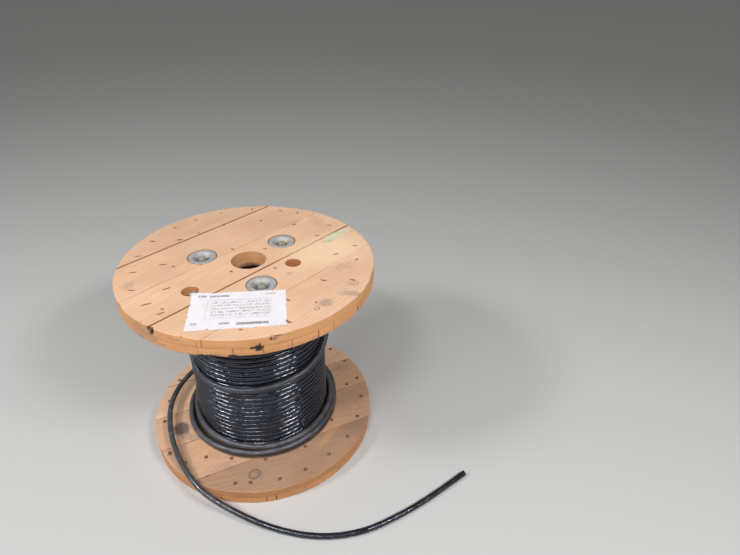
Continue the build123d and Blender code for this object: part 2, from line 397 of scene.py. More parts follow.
woodLook = {
    "early": (0.82, 0.545, 0.365, 1),
    "late": (0.66, 0.385, 0.225, 1),
    "rim": (0.80, 0.39, 0.165, 1),
    "bore": (0.67, 0.35, 0.155, 1),
    # the eased edges: lighter for wear and for a painted highlight
    "wearAndHighlight": (0.86, 0.60, 0.38, 1),
    "seam": (0.30, 0.14, 0.065, 1),
    # the next two: the colour, and the ring (inner and outer radius, strength), of painted shade on the lower flange
    # in the gap under the loose turns
    "soil": (0.05, 0.04, 0.03, 1),
    "shadedGapRing": (132 * mm, 174 * mm, 0.95),      # on the lower flange, under the loose turns
    "ringWidth": 0.0032,
    "grainBend": 0.007,
    "grainStrength": 0.18,
    "lowerGrain": 1.8,              # times that on the lower flange
    "bendScale": (1.6, 16, 16),     # of the noises, along and across the grain
    "fibreScale": (11, 520, 520),
    "streakScale": (3.0, 75, 75),
    "patchScale": 7.0,
    "rimScale": (22, 22, 420),
    "tornScale": 170.0,             # of the marks' borders
    # factors on the colour where a noise is low and high, then red's, green's and blue's share in them
    "fibreShade": (1.03, 0.88, 0.55, 1.0, 1.0),
    "patchShade": (1.05, 0.86, 0.55, 0.75, 0.9),
    "streakShade": (0.97, 1.03, 0.55, 1.0, 1.2),
    "rimFrom": (9 * mm, 6 * mm),    # how far inside the flange's radius the rim's tone begins and is full
    "rimShade": (0.6, 0.6, 0.6),
    # the worn edges' share also lays on a painted highlight
    "sawnShare": (0.8, 0.9, 2.2),   # how much of their own tone bores, rims and worn edges have
    "knotPush": 1.3,                # how far a knot pushes the rings aside, times its half width
    "knotRings": 1.3,               # how much closer its own rings stand
    "roughness": 0.62,
    "specular": 0.3,
    "relief": (0.3, 0.0005),        # strength and depth in metres
}
# The marks are laid on in this order.
markColours = {
    "pale": (0.95, 0.69, 0.46, 1),
    "grey": (0.28, 0.21, 0.17, 1),
    "blue": (0.30, 0.235, 0.21, 1),
    "orange": (0.72, 0.36, 0.16, 1),
    # painted shade on the walls inside the holes
    "hollowShade": (0.50, 0.17, 0.05, 1),
    "ring": (0.22, 0.125, 0.095, 1),
    "knot": (0.24, 0.13, 0.09, 1),
    # painted shade: a thin dark ring in the gap round each washer's seat
    "seatShadow": (0.20, 0.12, 0.08, 1),
    "nail": (0.15, 0.08, 0.045, 1),
    "stain": (0.13, 0.105, 0.105, 1),
    "pit": (0.24, 0.105, 0.05, 1),
    "black": (0.03, 0.022, 0.018, 1),
}
markRaggedness = {"black": 1.6, "grey": 3.2, "blue": 1.3, "stain": 0.4, "other": 0.8}


def markShares(tree, place, marks, ringRadius):
    # how much of each kind of mark shows at a place: the distance from the mark's middle in half sizes, plus
    # noise times the raggedness, taken through a step; knots and rings also push the growth rings aside
    shares = {}
    torn = noise(tree, place, woodLook["tornScale"], 3.0, 0.6)
    for kind, x, y, z, angle, halfAlong, halfAcross, halfHigh, strength in marks:
        away = lengthOf(tree, mapped(
            tree, place, "TEXTURE", Location=(x * mm, y * mm, z * mm), Rotation=(0, 0, math.radians(angle)),
            Scale=(halfAlong * mm, halfAcross * mm, halfHigh * mm),
        ))
        if kind in ("knot", "ring"):
            push = between(tree, away, 3.2, 0.0, 0.0, halfAcross * woodLook["knotPush"] * mm)
            ringRadius = sums(tree, "ADD", ringRadius, push)
        if kind == "ring":
            share = product(tree, between(tree, away, 1.25, 0.95), between(tree, away, 0.5, 0.85))
        elif kind == "seatShadow":
            share = product(tree, between(tree, away, 1.06, 1.01), between(tree, away, 0.93, 0.98))
        elif kind == "pale":
            share = between(tree, away, 1.0, 0.2)
        else:
            ragged = markRaggedness.get(kind, markRaggedness["other"])
            blurred = sums(tree, "MULTIPLY_ADD", torn, ragged, away)
            share = between(tree, blurred, 0.5 * ragged + 1.15, 0.5 * ragged + 0.6)
        share = product(tree, share, strength)
        shares[kind] = sums(tree, "MAXIMUM", shares[kind], share) if kind in shares else share
    return shares, ringRadius


def shaded(tree, colour, value, shade):
    # the colour times 1 + (factor - 1) x share, where the factor follows the noise and each channel has its share
    low, high, *channelShares = shade
    factor = between(tree, value, 0.3, 0.72, low, high)
    channels = [sums(tree, "MULTIPLY_ADD", factor, share, 1.0 - share) for share in channelShares]
    factors = addNode(tree, "ShaderNodeCombineColor", dict(enumerate(channels))).outputs[0]
    return mixColour(tree, 1.0, colour, factors, "MULTIPLY")


def sawnTones(tree, colour, place, fromAxis, onFace, offFace, toneAndLighting):
    # the bores' tone off the faces, the rim's near the flange's radius, and where a face ends a lighter one for wear
    # and a painted highlight on the eased edge; the rim takes half of the plank's tone with its painted light and
    # shade
    atRim = between(tree, fromAxis, *(drum["flangeRadius"] - inside for inside in woodLook["rimFrom"]))
    rimNoise = noise(tree, stretched(tree, place, woodLook["rimScale"]), 1.0, 4.0, 0.65)
    rimTone = timesColour(woodLook["rim"], [0.5 + 0.5 * channel for channel in toneAndLighting])
    rimDark = between(tree, rimNoise, 0.35, 0.75, 0.0, 0.5)
    rimColour = mixColour(tree, rimDark, rimTone, timesColour(rimTone, woodLook["rimShade"]))
    boreShare, rimShare, wornShare = woodLook["sawnShare"]
    colour = mixColour(tree, product(tree, offFace, boreShare), colour, timesColour(woodLook["bore"], toneAndLighting))
    colour = mixColour(tree, product(tree, offFace, atRim, rimShare), colour, rimColour)
    return mixColour(tree, product(tree, onFace, offFace, wornShare), colour, woodLook["wearAndHighlight"])


def woodMaterial(name, direction, pith, toneAndLighting, edges=(), joints=(), marks=(), shadedGap=None):
    # growth rings about a pith line that runs along the plank: distance from it / ring width, bent by noise,
    # gives the early and late wood; the seams' edges and the joints' heights are darkened, then come the marks
    pithAcross, pithDepth, leanZ, leanY = pith
    material, tree, shader = newMaterial(name)
    place = objectPlace(tree)
    along = mapped(tree, place, "POINT", Rotation=(0, 0, -math.radians(direction)))
    leaned = mapped(
        tree, along, "POINT", Location=(0, -pithAcross * mm, -pithDepth * mm), Rotation=(0, leanY, leanZ),
    )
    bend = addNode(tree, "ShaderNodeTexNoise", {
        "Vector": stretched(tree, leaned, woodLook["bendScale"]), "Scale": 1.0, "Detail": 2.0, "Roughness": 0.4,
    })
    amount = woodLook["grainBend"]
    bent = addNode(tree, "ShaderNodeVectorMath", {
        0: bend.outputs["Color"], 1: (0.0, amount, amount), 2: leaned,
    }, operation="MULTIPLY_ADD").outputs[0]
    shares, ringRadius = markShares(tree, place, marks, lengthOf(tree, stretched(tree, bent, (0, 1, 1))))
    ringCount = sums(tree, "DIVIDE", ringRadius, woodLook["ringWidth"])
    ring = sums(tree, "FRACT", ringCount)
    late = product(tree, between(tree, ring, 0.1, 0.8), between(tree, ring, 1.0, 0.86))
    fibre = noise(tree, stretched(tree, leaned, woodLook["fibreScale"]), 1.0, 3.0, 0.6)
    patch = noise(tree, along, woodLook["patchScale"], 3.0, 0.55)
    streak = noise(tree, stretched(tree, along, woodLook["streakScale"]), 1.0, 3.0, 0.55)
    grain = woodLook["grainStrength"] * (woodLook["lowerGrain"] if name.startswith("bottom") else 1.0)
    lateShare = product(tree, late, between(tree, streak, 0.3, 0.7, 0.3 * grain, 1.5 * grain))
    colour = mixColour(tree, lateShare, timesColour(woodLook["early"], toneAndLighting), timesColour(woodLook["late"], toneAndLighting))
    colour = shaded(tree, colour, fibre, woodLook["fibreShade"])
    colour = shaded(tree, colour, patch, woodLook["patchShade"])
    colour = shaded(tree, colour, streak, woodLook["streakShade"])
    normal = addNode(tree, "ShaderNodeNewGeometry").outputs["Normal"]
    onFace = between(tree, sums(tree, "ABSOLUTE", partsOf(tree, normal)[2]), 0.35, 0.85)
    offFace = sums(tree, "SUBTRACT", 1.0, onFace)
    fromAxis = lengthOf(tree, stretched(tree, place, (1, 1, 0)))
    colour = sawnTones(tree, colour, place, fromAxis, onFace, offFace, toneAndLighting)
    across, height = partsOf(tree, along)[1], partsOf(tree, place)[2]
    lines = [(across, *edge) for edge in edges] + [(height, *joint) for joint in joints]
    for value, limit, strength, reach in lines:
        share = between(tree, apart(tree, value, limit * mm), reach * mm, 0.3 * reach * mm)
        colour = mixColour(tree, product(tree, share, strength), colour, woodLook["seam"])
    # painted shade: a dark ring in the gap under the loose turns
    if shadedGap is not None:
        lowest, highest, strength = shadedGap
        inside = between(tree, fromAxis, lowest, lowest + 5 * mm)
        outside = between(tree, fromAxis, highest, highest - 6 * mm)
        colour = mixColour(tree, product(tree, inside, outside, onFace, strength), colour, woodLook["soil"])
    for kind in [kind for kind in markColours if kind in shares]:
        share = shares[kind]
        if kind in ("knot", "ring"):
            ownRings = sums(tree, "FRACT", product(tree, ringCount, woodLook["knotRings"]))
            share = product(tree, share, between(tree, ownRings, 0.1, 0.9, 0.7, 1.0))
        # painted shade inside the holes, laid on their walls only
        if kind == "hollowShade":
            share = product(tree, share, offFace)
        colour = mixColour(tree, share, colour, markColours[kind])
    tree.links.new(colour, shader.inputs["Base Color"])
    shader.inputs["Roughness"].default_value = woodLook["roughness"]
    shader.inputs["Specular IOR Level"].default_value = woodLook["specular"]
    relief = sums(tree, "ADD", product(tree, late, 0.3), product(tree, fibre, 0.9))
    dented(tree, shader, *woodLook["relief"], relief)
    return material


# Boards.
boards = {
    "ease": 1.3,            # how far the sawn edges are rounded, mm
    "easeSteps": (0.0, 0.3, 0.65, 1.0),
    "grid": 5.5,            # spacing of the surface's points, mm
    "heightGrid": 5.0,
    "widestGap": 1.0,       # between two planks; a wider seam is a dark line beside it
    "drops": (0.0, 0.45, 0.15, 0.6, 0.3, 0.1),      # how far each plank lies below the highest, mm
    "sinkZone": 6,          # how deep below its face that lowers a plank, mm
    "rimZone": 12,          # how deep chips and waves reach in from the rim, mm
    "rimWave": 0.25,        # mm
    "flare": 0.8,           # how far a bore widens at a face that shows, mm
    "boltBore": 5.3,        # radius of the bolts' holes in the inner plies, mm
    "nailMargin": 3.5,      # least distance of a nail from its plank's edge, mm
    # strength and reach (mm) of the dark line along a seam and along the joint of two plies
    "lines": {"wide": (0.95, 2.3), "narrow": (0.4, 1.6), "below": (0.22, 1.6), "joint": (0.4, 1.2)},
    # (radius, height over the face) of the seat pressed by a dished washer and the dent over a nail's head
    "seat": [
        (0, 3), (29.6, 3), (28.7, 0), (28.3, -2.3), (21.3, -2.35), (12.8, -13.6), (5.3, -13.65), (5.3, -20), (0, -20),
    ],
    "pit": [(0, 1), (5.0, 1), (4.5, 0), (4.0, -0.5), (3.6, -3.1), (0, -3.1)],
}
# Each ply: direction of its grain (degrees), lower and upper face, seams as (middle, width) across the grain (mm);
# and for each plank where its pith line lies across and under its face (mm), how far it leans, and the tone. On the
# lower flange the tones also paint light and shade: darker for the shade under the upper flange, lighter where lit.
plies = {
    "top_outer_board": {
        "direction": 0.0,
        "faces": ("topSplit", "topFace"),
        "seams": [(-139.0, 0.6), (-46.6, 3.0), (54.1, 0.6), (163.3, 3.0)],
        "pith": [
            (-300, 270, 0.02, 0.03), (-10, 300, -0.015, 0.04), (60, 260, 0.01, -0.03), (40, 280, -0.015, 0.03),
            (110, 290, 0.012, -0.02),
        ],
        "tonesAndLighting": [
            (0.98, 0.97, 0.97), (1.0, 1.0, 1.0), (1.0, 0.985, 0.965), (0.97, 0.96, 0.95), (0.94, 0.92, 0.90),
        ],
    },
    "top_inner_board": {
        "direction": 90.0,
        "faces": ("topInside", "topSplit"),
        "seams": [(-142.0, 0.6), (-62.0, 0.6), (19.0, 0.6), (100.0, 0.6), (181.0, 0.6)],
        "pith": [
            (-150, 330, 0.02, 0.05), (-90, 360, 0.0, 0.08), (-20, 340, 0.03, -0.05), (60, 370, 0.02, 0.06),
            (140, 350, -0.02, 0.05), (200, 370, 0.02, -0.04),
        ],
        "tonesAndLighting": [
            (1.0, 1.0, 1.0), (0.95, 0.94, 0.92), (0.98, 0.96, 0.94), (1.0, 0.98, 0.96), (0.94, 0.92, 0.9),
            (1.0, 0.98, 0.97),
        ],
    },
    "bottom_inner_board": {
        "direction": -23.1,
        "faces": ("bottomSplit", "bottomInside"),
        "seams": [(-153.0, 0.6), (-47.5, 0.6), (50.0, 0.6), (147.0, 0.6)],
        "pith": [
            (-150, -90, 0.02, 0.04), (-100, -60, -0.02, 0.05), (40, -80, 0.015, -0.04), (60, -70, -0.02, 0.04),
            (160, -95, 0.02, -0.03),
        ],
        # planks 1 to 3 darker for painted shade, planks 4 and 5 lighter for painted light
        "tonesAndLighting": [
            (0.55, 0.51, 0.495), (0.79, 0.745, 0.72), (0.88, 0.84, 0.82), (1.10, 1.12, 1.14), (1.06, 1.06, 1.08),
        ],
    },
    "bottom_outer_board": {
        "direction": 66.9,
        "faces": ("bottomFace", "bottomSplit"),
        "seams": [(-168.0, 0.6), (-87.0, 0.6), (-5.0, 0.6), (77.0, 0.6), (160.0, 0.6)],
        "pith": [
            (-190, 60, 0.02, 0.05), (-120, 50, 0.0, 0.06), (-40, 60, 0.03, -0.05), (40, 55, 0.02, 0.06),
            (120, 60, -0.02, 0.05), (200, 55, 0.02, -0.04),
        ],
        # darker all over for painted shade, which shows on the lower flange's rim
        "tonesAndLighting": [
            (0.76, 0.66, 0.58), (0.74, 0.64, 0.56), (0.78, 0.68, 0.60), (0.74, 0.65, 0.58), (0.8, 0.70, 0.62),
            (0.74, 0.66, 0.6),
        ],
    },
}
# Nails: their places from above, in mm. The heads are sunk in the insides of the flanges, where the winding
# doesn't hide them. Their points come out on the outsides and are bent over: the upper ones each along its own
# angle (degrees) and for its own length (mm), the lower ones each turned further by the same step.
nails = {
    "headRadius": 3.3,
    "sunk": 1.5,
    "headsBeyond": 155,     # mm from the axis
    "pointRadius": 1.1,
    "pointsSunk": {"top": 0.9, "bottom": 1.1},
    "bottomLength": 9.0,
    "bottomStep": 40,
    "top": [
        (-124, 111, -48, 15), (-115, 89, -71, 8), (-179, 128, -31, 14), (-87, 210, -65, 11), (-45, 174, -32, 12),
        (-212, 74, -44, 14), (-167, 30, -10, 14), (-218, 13, -23, 16), (-216, -29, -12, 13), (-207, -20, -48, 6),
        (6, 59, -83, 11), (51, 10, -30, 8), (-51, -10, -85, 8), (14, -63, -86, 9), (135, -115, -33, 12),
        (46, -166, -63, 11), (84, -206, -67, 11), (-43, -164, -81, 9), (188, -121, -48, 10), (166, -30, -31, 12),
        (168, 46, -20, 11), (219, -15, -48, 11), (196, 122, -78, 12), (-153, -167, -62, 7), (-86, -209, -111, 8),
        (-21, 229, -65, 8), (32, 227, -60, 8), (94, 216, -70, 7), (-140, 176, -35, 13), (131, 117, 45, 9),
        (216, 85, 30, 9), (60, 160, 10, 8), (0, 170, -25, 8), (155, 178, 35, 8), (147, -162, 30, 9),
    ],
    "bottom": [
        (-98, 216), (-154, 172), (-197, 124), (-158, 124), (-239, 38), (-175, 23), (-232, -9), (-194, -31),
        (-222, -74), (-160, -75), (-194, -131), (-172, -153), (-114, -132), (-127, -192), (-34, -173),
        (-76, -216), (-15, -227), (48, -225), (60, -164), (108, -202), (163, -167), (143, -109), (170, -113),
        (204, -117), (232, -49), (241, 12), (181, 12), (226, 70), (176, 84), (190, 138), (130, 130), (138, 190),
        (70, 176), (80, 220), (10, 234), (6, 184), (-50, 176), (-38, 228),
    ],
}
# Marks in the wood: kind, place, angle in degrees, half lengths along the angle, across it and upwards (mm),
# strength. Those on the rims stand at an angle round the axis and are turned to it.
faceMarks = [
    ("knot", -45, 174, 436, -32, 7, 4, 8, 0.7), ("knot", -87, 210, 436, -50, 7, 3.5, 8, 0.6),
    ("blue", -4, -220, 436, 0, 14, 13, 6, 0.55), ("grey", 49, -235, 436, -60, 22, 9, 6, 0.5),
    ("grey", 76, -215, 436, -40, 13, 10, 6, 0.35), ("grey", -207, 93, 436, 20, 14, 12, 6, 0.3),
    ("grey", 20, -100, 436, 0, 7, 8, 6, 0.35), ("grey", -242, -100, 436, -60, 12, 6, 6, 0.3),
    ("grey", 110, -160, 436, -20, 26, 12, 6, 0.22), ("grey", 150, 60, 436, -10, 40, 14, 6, 0.12),
    ("ring", -27, -220, 436, 0, 5.5, 4.5, 8, 0.9), ("black", -15, -206, 436, 20, 4, 1.6, 4, 0.8),
    ("black", -86, -214, 436, -20, 4, 2.4, 4, 0.8), ("black", -230, -110, 436, 30, 5, 2, 4, 0.5),
    ("knot", -184, 77, 36, 0, 17, 21, 14, 0.8), ("stain", -184, 77, 36, 0, 19, 22, 14, 0.8),
    ("grey", 150, -150, 36, -23, 95, 26, 8, 0.26), ("grey", 60, -215, 36, -23, 70, 18, 8, 0.2),
    ("grey", 220, 60, 36, 60, 60, 18, 8, 0.2), ("grey", -120, -150, 36, -23, 60, 14, 8, 0.15),
    ("orange", 40, -186, 36, 12, 70, 10, 8, 0.3), ("grey", -149, -148, 36, 0, 9, 11, 10, 0.6),
    ("orange", -190, -10, 36, 70, 60, 16, 8, 0.25), ("blue", -188, 52, 36, -72, 58, 11, 10, 0.5),
    ("ring", -154, -144, 36, 0, 12.5, 11.5, 12, 0.85), ("grey", -15, -222, 36, -30, 16, 8, 8, 0.4),
    ("grey", 90, -228, 36, 25, 30, 12, 8, 0.3), ("grey", -186, -80, 36, -23, 26, 10, 8, 0.25),
    ("grey", 205, -60, 36, -23, 30, 12, 8, 0.3), ("black", -222, -72, 36, -23, 8, 2.2, 6, 0.5),
    ("ring", 120, 150, 36, 0, 10, 9, 10, 0.8), ("black", -241, 33, 36, -20, 8, 1.6, 6, 0.8),
    # The hollow marks darken the walls inside the drive hole, the start hole and the arbor's left: painted shade.
    ("pale", 130, -90, 436, -20, 130, 90, 20, 0.7), ("hollowShade", 52, -75, 425, 0, 26, 26, 22, 0.85),
    ("hollowShade", -143, -8, 424, 0, 26, 26, 20, 0.5), ("hollowShade", -32, 8, 426, 0, 20, 30, 16, 0.4),
    # On the arbor's wall the orange at (24, 26) is painted light and the grey at (-27, 24) painted shade.
    ("orange", 24, 26, 426, 0, 15, 13, 8, 0.7), ("stain", 22, 29, 400, 0, 34, 30, 9, 0.8),
    ("grey", -27, 24, 414, 0, 14, 16, 12, 0.5), ("grey", 215, 20, 436, 70, 46, 14, 6, 0.16),
    ("grey", 175, -60, 436, 10, 30, 12, 6, 0.16), ("grey", -150, 60, 436, 10, 30, 16, 6, 0.10),
    ("grey", -160, -60, 436, -10, 34, 12, 6, 0.10), ("grey", 40, 190, 436, 5, 60, 14, 6, 0.12),
    ("grey", -60, 100, 436, 5, 40, 10, 6, 0.10),
]
rimMarks = [
    # kind, angle round the axis, height, half width, half height, strength
    ("black", 191.7, 429, 4.0, 8.0, 1.0), ("black", 190.0, 431, 3.0, 5.0, 0.9), ("black", 239.0, 430, 2.6, 4.0, 0.8),
    ("black", 240.3, 428, 1.6, 3.0, 0.7), ("grey", 239.8, 429, 8.0, 5.0, 0.5), ("black", 241.8, 434, 7.0, 1.6, 0.7),
    ("black", 234.0, 415.4, 9.0, 6.0, 1.0), ("black", 232.2, 416.2, 10.0, 2.8, 1.0),
    ("knot", 234.0, 416.5, 9.0, 8.0, 0.6), ("black", 234.6, 421.4, 2.2, 4.0, 0.9),
    ("black", 234.9, 411.4, 2.6, 2.8, 0.9), ("black", 214.6, 401.4, 22.0, 3.4, 1.0),
    ("grey", 216.0, 402.5, 22.0, 4.0, 0.5), ("black", 224.4, 401.4, 10.0, 4.4, 0.95),
    ("black", 230.2, 400.6, 22.0, 2.0, 0.9), ("black", 207.5, 399.6, 12.0, 2.2, 0.8),
    ("grey", 186.0, 418.0, 50.0, 22.0, 0.35), ("black", 211.2, 418.0, 0.7, 17.0, 0.4),
    ("black", 228.0, 416.0, 0.6, 6.0, 0.3), ("grey", 202.8, 427.0, 14.0, 1.5, 0.5),
    ("grey", 250.0, 405.0, 26.0, 3.0, 0.25), ("grey", 196.6, 407.0, 9.0, 1.6, 0.5),
    ("black", 235.7, 408.5, 0.8, 9.0, 0.9), ("black", 258.1, 409.0, 1.1, 10.0, 1.0),
    ("black", 281.7, 404.0, 1.7, 11.0, 1.0), ("black", 286.9, 390.0, 5.0, 1.0, 0.4),
    ("black", 233.8, 11.0, 1.2, 9.0, 0.9), ("grey", 205.0, 8.0, 30.0, 3.0, 0.35),
    # The orange at 303 degrees darkens the rim's right side: painted shade.
    ("grey", 262.0, 28.0, 22.0, 3.0, 0.3), ("orange", 303.0, 418.0, 110.0, 24.0, 0.6),
    ("grey", 120.0, 420.0, 16.0, 5.0, 0.4), ("grey", 40.0, 424.0, 20.0, 4.0, 0.4),
    ("grey", 80.0, 12.0, 20.0, 4.0, 0.4),
]
# Marks that come with a piece, in mm: how deep those of the rims reach; half sizes and strength of the dark ring
# round a washer's seat, painted shade in the gap at the washer's edge, of a nail's bent point (its length times the
# first) and of the dent over a nail's head.
pieceMarks = {
    "rimDepth": 6.0,
    "seat": (29.0, 29.0, 29.0, 0.75),
    "point": (0.62, 2.1, 3, 0.92),
    "pit": (5.1, 5.1, 5, 0.72),
}
# Splits: from and to (mm, from above), width, lower and upper height.
splits = [
    ((-193, 150), (-122, 150.6), 0.8, drum["topFace"] / mm - 3, drum["topFace"] / mm + 1),
    ((-52.3, -248.6), (-49.3, -238), 1.5, drum["topInside"] / mm - 1, drum["topSplit"] / mm - 2),
    ((51.5, -248.8), (49.5, -238), 1.5, drum["topInside"] / mm + 6, drum["topSplit"] / mm),
    ((-150, -205), (-145, -198), 1.3, -1, drum["bottomSplit"] / mm),
]
# Chips in the rims: angle, half width in degrees, depth in mm, and the heights between which they lie.
chips = [
    (191.6, 1.3, 4.0, 424, 440), (239.5, 0.9, 2.5, 426, 440), (233.8, 1.6, 2.2, 412, 419), (255, 3.0, 1.2, 395, 404),
    (226, 2.5, 1.8, 396, 406), (219, 2.5, 1.2, 396, 404), (300, 2.0, 1.5, 430, 440), (205, 2.0, 1.4, 430, 440),
    (170, 2.4, 1.6, 430, 440), (120, 2.0, 2.0, 428, 440), (30, 2.0, 2.2, 428, 440), (75, 3.0, 1.6, 398, 406),
    (250, 2.0, 1.6, 30, 38), (205, 2.6, 1.4, -2, 8), (290, 1.6, 1.8, 28, 38), (330, 2.4, 1.6, -2, 8),
    (150, 2.0, 1.8, 30, 38), (40, 2.2, 2.0, 28, 38),
]


def acrossOf(x, y, turned):
    # how far a place lies across a grain that runs turned (radians) round from +X
    return -x * math.sin(turned) + y * math.cos(turned)


def marksOf(plyName, base, top, low, high, turned, ownNails):
    # the marks of one plank: those of its face, those of its part of the rim, a ring of painted shade round each
    # washer of an outer ply, and one at each of its nails that shows
    chosen = []
    for mark in faceMarks:
        halfAcross = mark[6]
        offset = acrossOf(mark[1], mark[2], turned)
        if base - 1 < mark[3] < top + 1 and low - halfAcross < offset < high + halfAcross:
            chosen.append(mark)
    for kind, angle, height, halfWide, halfHigh, strength in rimMarks:
        x, y = np.array(polar(drum["flangeRadius"] / mm, angle)) / mm
        offset = acrossOf(x, y, turned)
        if base - halfHigh < height < top + halfHigh and low - halfWide < offset < high + halfWide:
            chosen.append((kind, x, y, height, angle, pieceMarks["rimDepth"], halfWide, halfHigh, strength))
    for place in drum["boltPlaces"] if "outer" in plyName else []:
        x, y = np.array(polar(*place)) / mm
        chosen.append(("seatShadow", x, y, top if plyName == "top_outer_board" else base, 0, *pieceMarks["seat"]))
    for nail in ownNails:
        if plyName == "top_outer_board":
            halfLength = nail[3] * pieceMarks["point"][0]
            chosen.append(("nail", *nail[:2], top, nail[2], halfLength, *pieceMarks["point"][1:]))
        if plyName == "bottom_inner_board":
            chosen.append(("pit", *nail[:2], top, 0, *pieceMarks["pit"]))
    return chosen


def boardShell(low, high, base, top):
    # a strip of a disc, low <= across <= high, |along| <= sqrt(R^2 - across^2), base <= height <= top: six grids
    # of a box, denser near the edges. Every point is then set ease away from the nearest point of the same
    # strip made smaller all round by ease, which rounds the edges.
    radius = drum["flangeRadius"] / mm
    ease = boards["ease"]
    meetsLow, meetsHigh = low > -radius + 1, high < radius - 1
    lowTurn, highTurn = math.asin(max(-1, low / radius)), math.asin(min(1, high / radius))
    count = max(6, int(round((highTurn - lowTurn) * radius / boards["grid"])))
    across = radius * np.sin(np.linspace(lowTurn, highTurn, count))
    across[0], across[-1] = low, high
    steps = ease * np.array(boards["easeSteps"])
    bands, eased = steps[:-1], steps[1:]
    if meetsLow:
        across = np.concatenate(((low,), low + eased, across[1:]))
    if meetsHigh:
        across = np.concatenate((across[:-1], high - eased[::-1], (high,)))
    across = np.unique(across)
    half = np.sqrt(np.maximum(radius**2 - across**2, 0))
    share = np.linspace(-1, 1, int(2 * radius / boards["grid"]))
    left = -np.maximum(half[:, None] - bands[None, :], 0)
    inner = share[None, :] * np.maximum(half - ease, 0)[:, None]
    right = np.maximum(half[:, None] - bands[None, ::-1], 0)
    along = np.concatenate((left, inner, right), axis=1)
    levels = np.linspace(base + ease, top - ease, max(2, int(round((top - base) / boards["heightGrid"]))))
    heights = np.concatenate((base + bands, levels, (top - bands)[::-1]))[:, None]
    surfaces = [gridSurface(along, across[:, None], height) for height in (base, top)]
    surfaces += [gridSurface(along[row][None, :], across[row], heights) for row in (0, -1)]
    surfaces += [gridSurface(along[:, column][None, :], across[None, :], heights) for column in (0, -1)]
    points, faces = joined(surfaces)
    near = points.copy()
    near[:, 1] = np.clip(near[:, 1], low + ease if meetsLow else -radius, high - ease if meetsHigh else radius)
    near[:, 2] = np.clip(near[:, 2], base + ease, top - ease)
    reach = np.hypot(near[:, 0], near[:, 1])
    near[:, :2] *= np.minimum(1, (radius - ease) / np.maximum(reach, 1e-6))[:, None]
    away = points - near
    distance = np.linalg.norm(away, axis=1)
    return near + away * (ease / np.maximum(distance, 1e-6))[:, None], faces


def sawnBoard(low, high, base, top, turned, joint, drop):
    # the shell turned to its ply's direction. The face on the joint of the plies keeps sharp edges: the shell is
    # made taller there and cut back. The rim is pulled in by each chip's depth x a bell of the angle, between
    # two heights, and by two slow waves; the upper face sinks by the drop.
    radius = drum["flangeRadius"] / mm
    taller = 0.7 * boards["ease"]
    shellBase = base - (taller if abs(base - joint) < 0.5 else 0)
    shellTop = top + (taller if abs(top - joint) < 0.5 else 0)
    points, faces = boardShell(low, high, shellBase, shellTop)
    x = points[:, 0] * math.cos(turned) - points[:, 1] * math.sin(turned)
    y = points[:, 0] * math.sin(turned) + points[:, 1] * math.cos(turned)
    z = np.clip(points[:, 2], base, top)
    angle = np.degrees(np.arctan2(y, x)) % 360
    reach = np.hypot(x, y)
    nearRim = np.clip((reach - radius + boards["rimZone"]) / boards["rimZone"], 0, 1)
    pull = np.zeros_like(x)
    for middle, halfWidth, depth, lowest, highest in chips:
        bell = np.exp(-((angle - middle) / halfWidth) ** 2)
        inside = np.clip((z - lowest) / 2, 0, 1) * np.clip((highest - z) / 2, 0, 1)
        pull += depth * bell * inside * nearRim
    pull += boards["rimWave"] * (np.sin(angle * 0.61) + np.sin(angle * 0.23 + 2) + 1) * nearRim
    x *= 1 - pull / np.maximum(reach, 1)
    y *= 1 - pull / np.maximum(reach, 1)
    z -= drop * np.clip((z - top + boards["sinkZone"]) / boards["sinkZone"], 0, 1)
    return np.column_stack((x, y, z)) * mm, faces


def boreCutter(radius, base, top, place, flareLow=0, flareHigh=0, steps=72):
    # a plug with the bore's radius, wider by the flare at a face that shows
    profile = [
        (0, base - 2), (radius + flareLow * 2.5, base - 2), (radius + flareLow, base),
        (radius, base + flareLow + 0.01), (radius, top - flareHigh - 0.01), (radius + flareHigh, top),
        (radius + flareHigh * 2.5, top + 2), (0, top + 2),
    ]
    return turnedSurface(np.array(profile) * mm, polar(*place), steps)


def splitBlade(start, end, width, lowest, highest):
    # a thin blade from the start to a point at the end: the five corners of a prism below, then those above
    start, end = np.array(start, float), np.array(end, float)
    ahead = (end - start) / np.linalg.norm(end - start)
    side = np.array((-ahead[1], ahead[0])) * width / 2
    outline = np.array((
        start - ahead * 3 + side, start - ahead * 3 - side, start * 0.4 + end * 0.6 - side * 0.9,
        end, start * 0.45 + end * 0.55 + side * 0.8,
    ))
    return np.vstack([np.column_stack((outline, np.full(5, height))) for height in (lowest, highest)]) * mm


def withoutHoles(mesh, surfaces, blades):
    # the mesh less everything inside the cutters
    points, faces = joined(surfaces)
    faces = faces.tolist()
    for blade in blades:
        first = len(points)
        points = np.vstack((points, blade))
        faces += [[first + i for i in range(5)], [first + 5 + i for i in reversed(range(5))]]
        faces += [[first + i, first + (i + 1) % 5, first + 5 + (i + 1) % 5, first + 5 + i] for i in range(5)]
    body = newObject("uncut", mesh)
    cutter = newObject("cutter", makeMesh("cutter", points, faces))
    cut = body.modifiers.new("holes", "BOOLEAN")
    cut.operation = "DIFFERENCE"
    cut.solver = "EXACT"
    cut.object = cutter
    graph = bpy.context.evaluated_depsgraph_get()
    result = bpy.data.meshes.new_from_object(body.evaluated_get(graph))
    for spent in (body, cutter):
        bpy.data.objects.remove(spent)
    shadeSmooth(result)
    return result


def hasHead(nail):
    # whether its head shows beyond the winding
    return math.hypot(*nail[:2]) > nails["headsBeyond"]


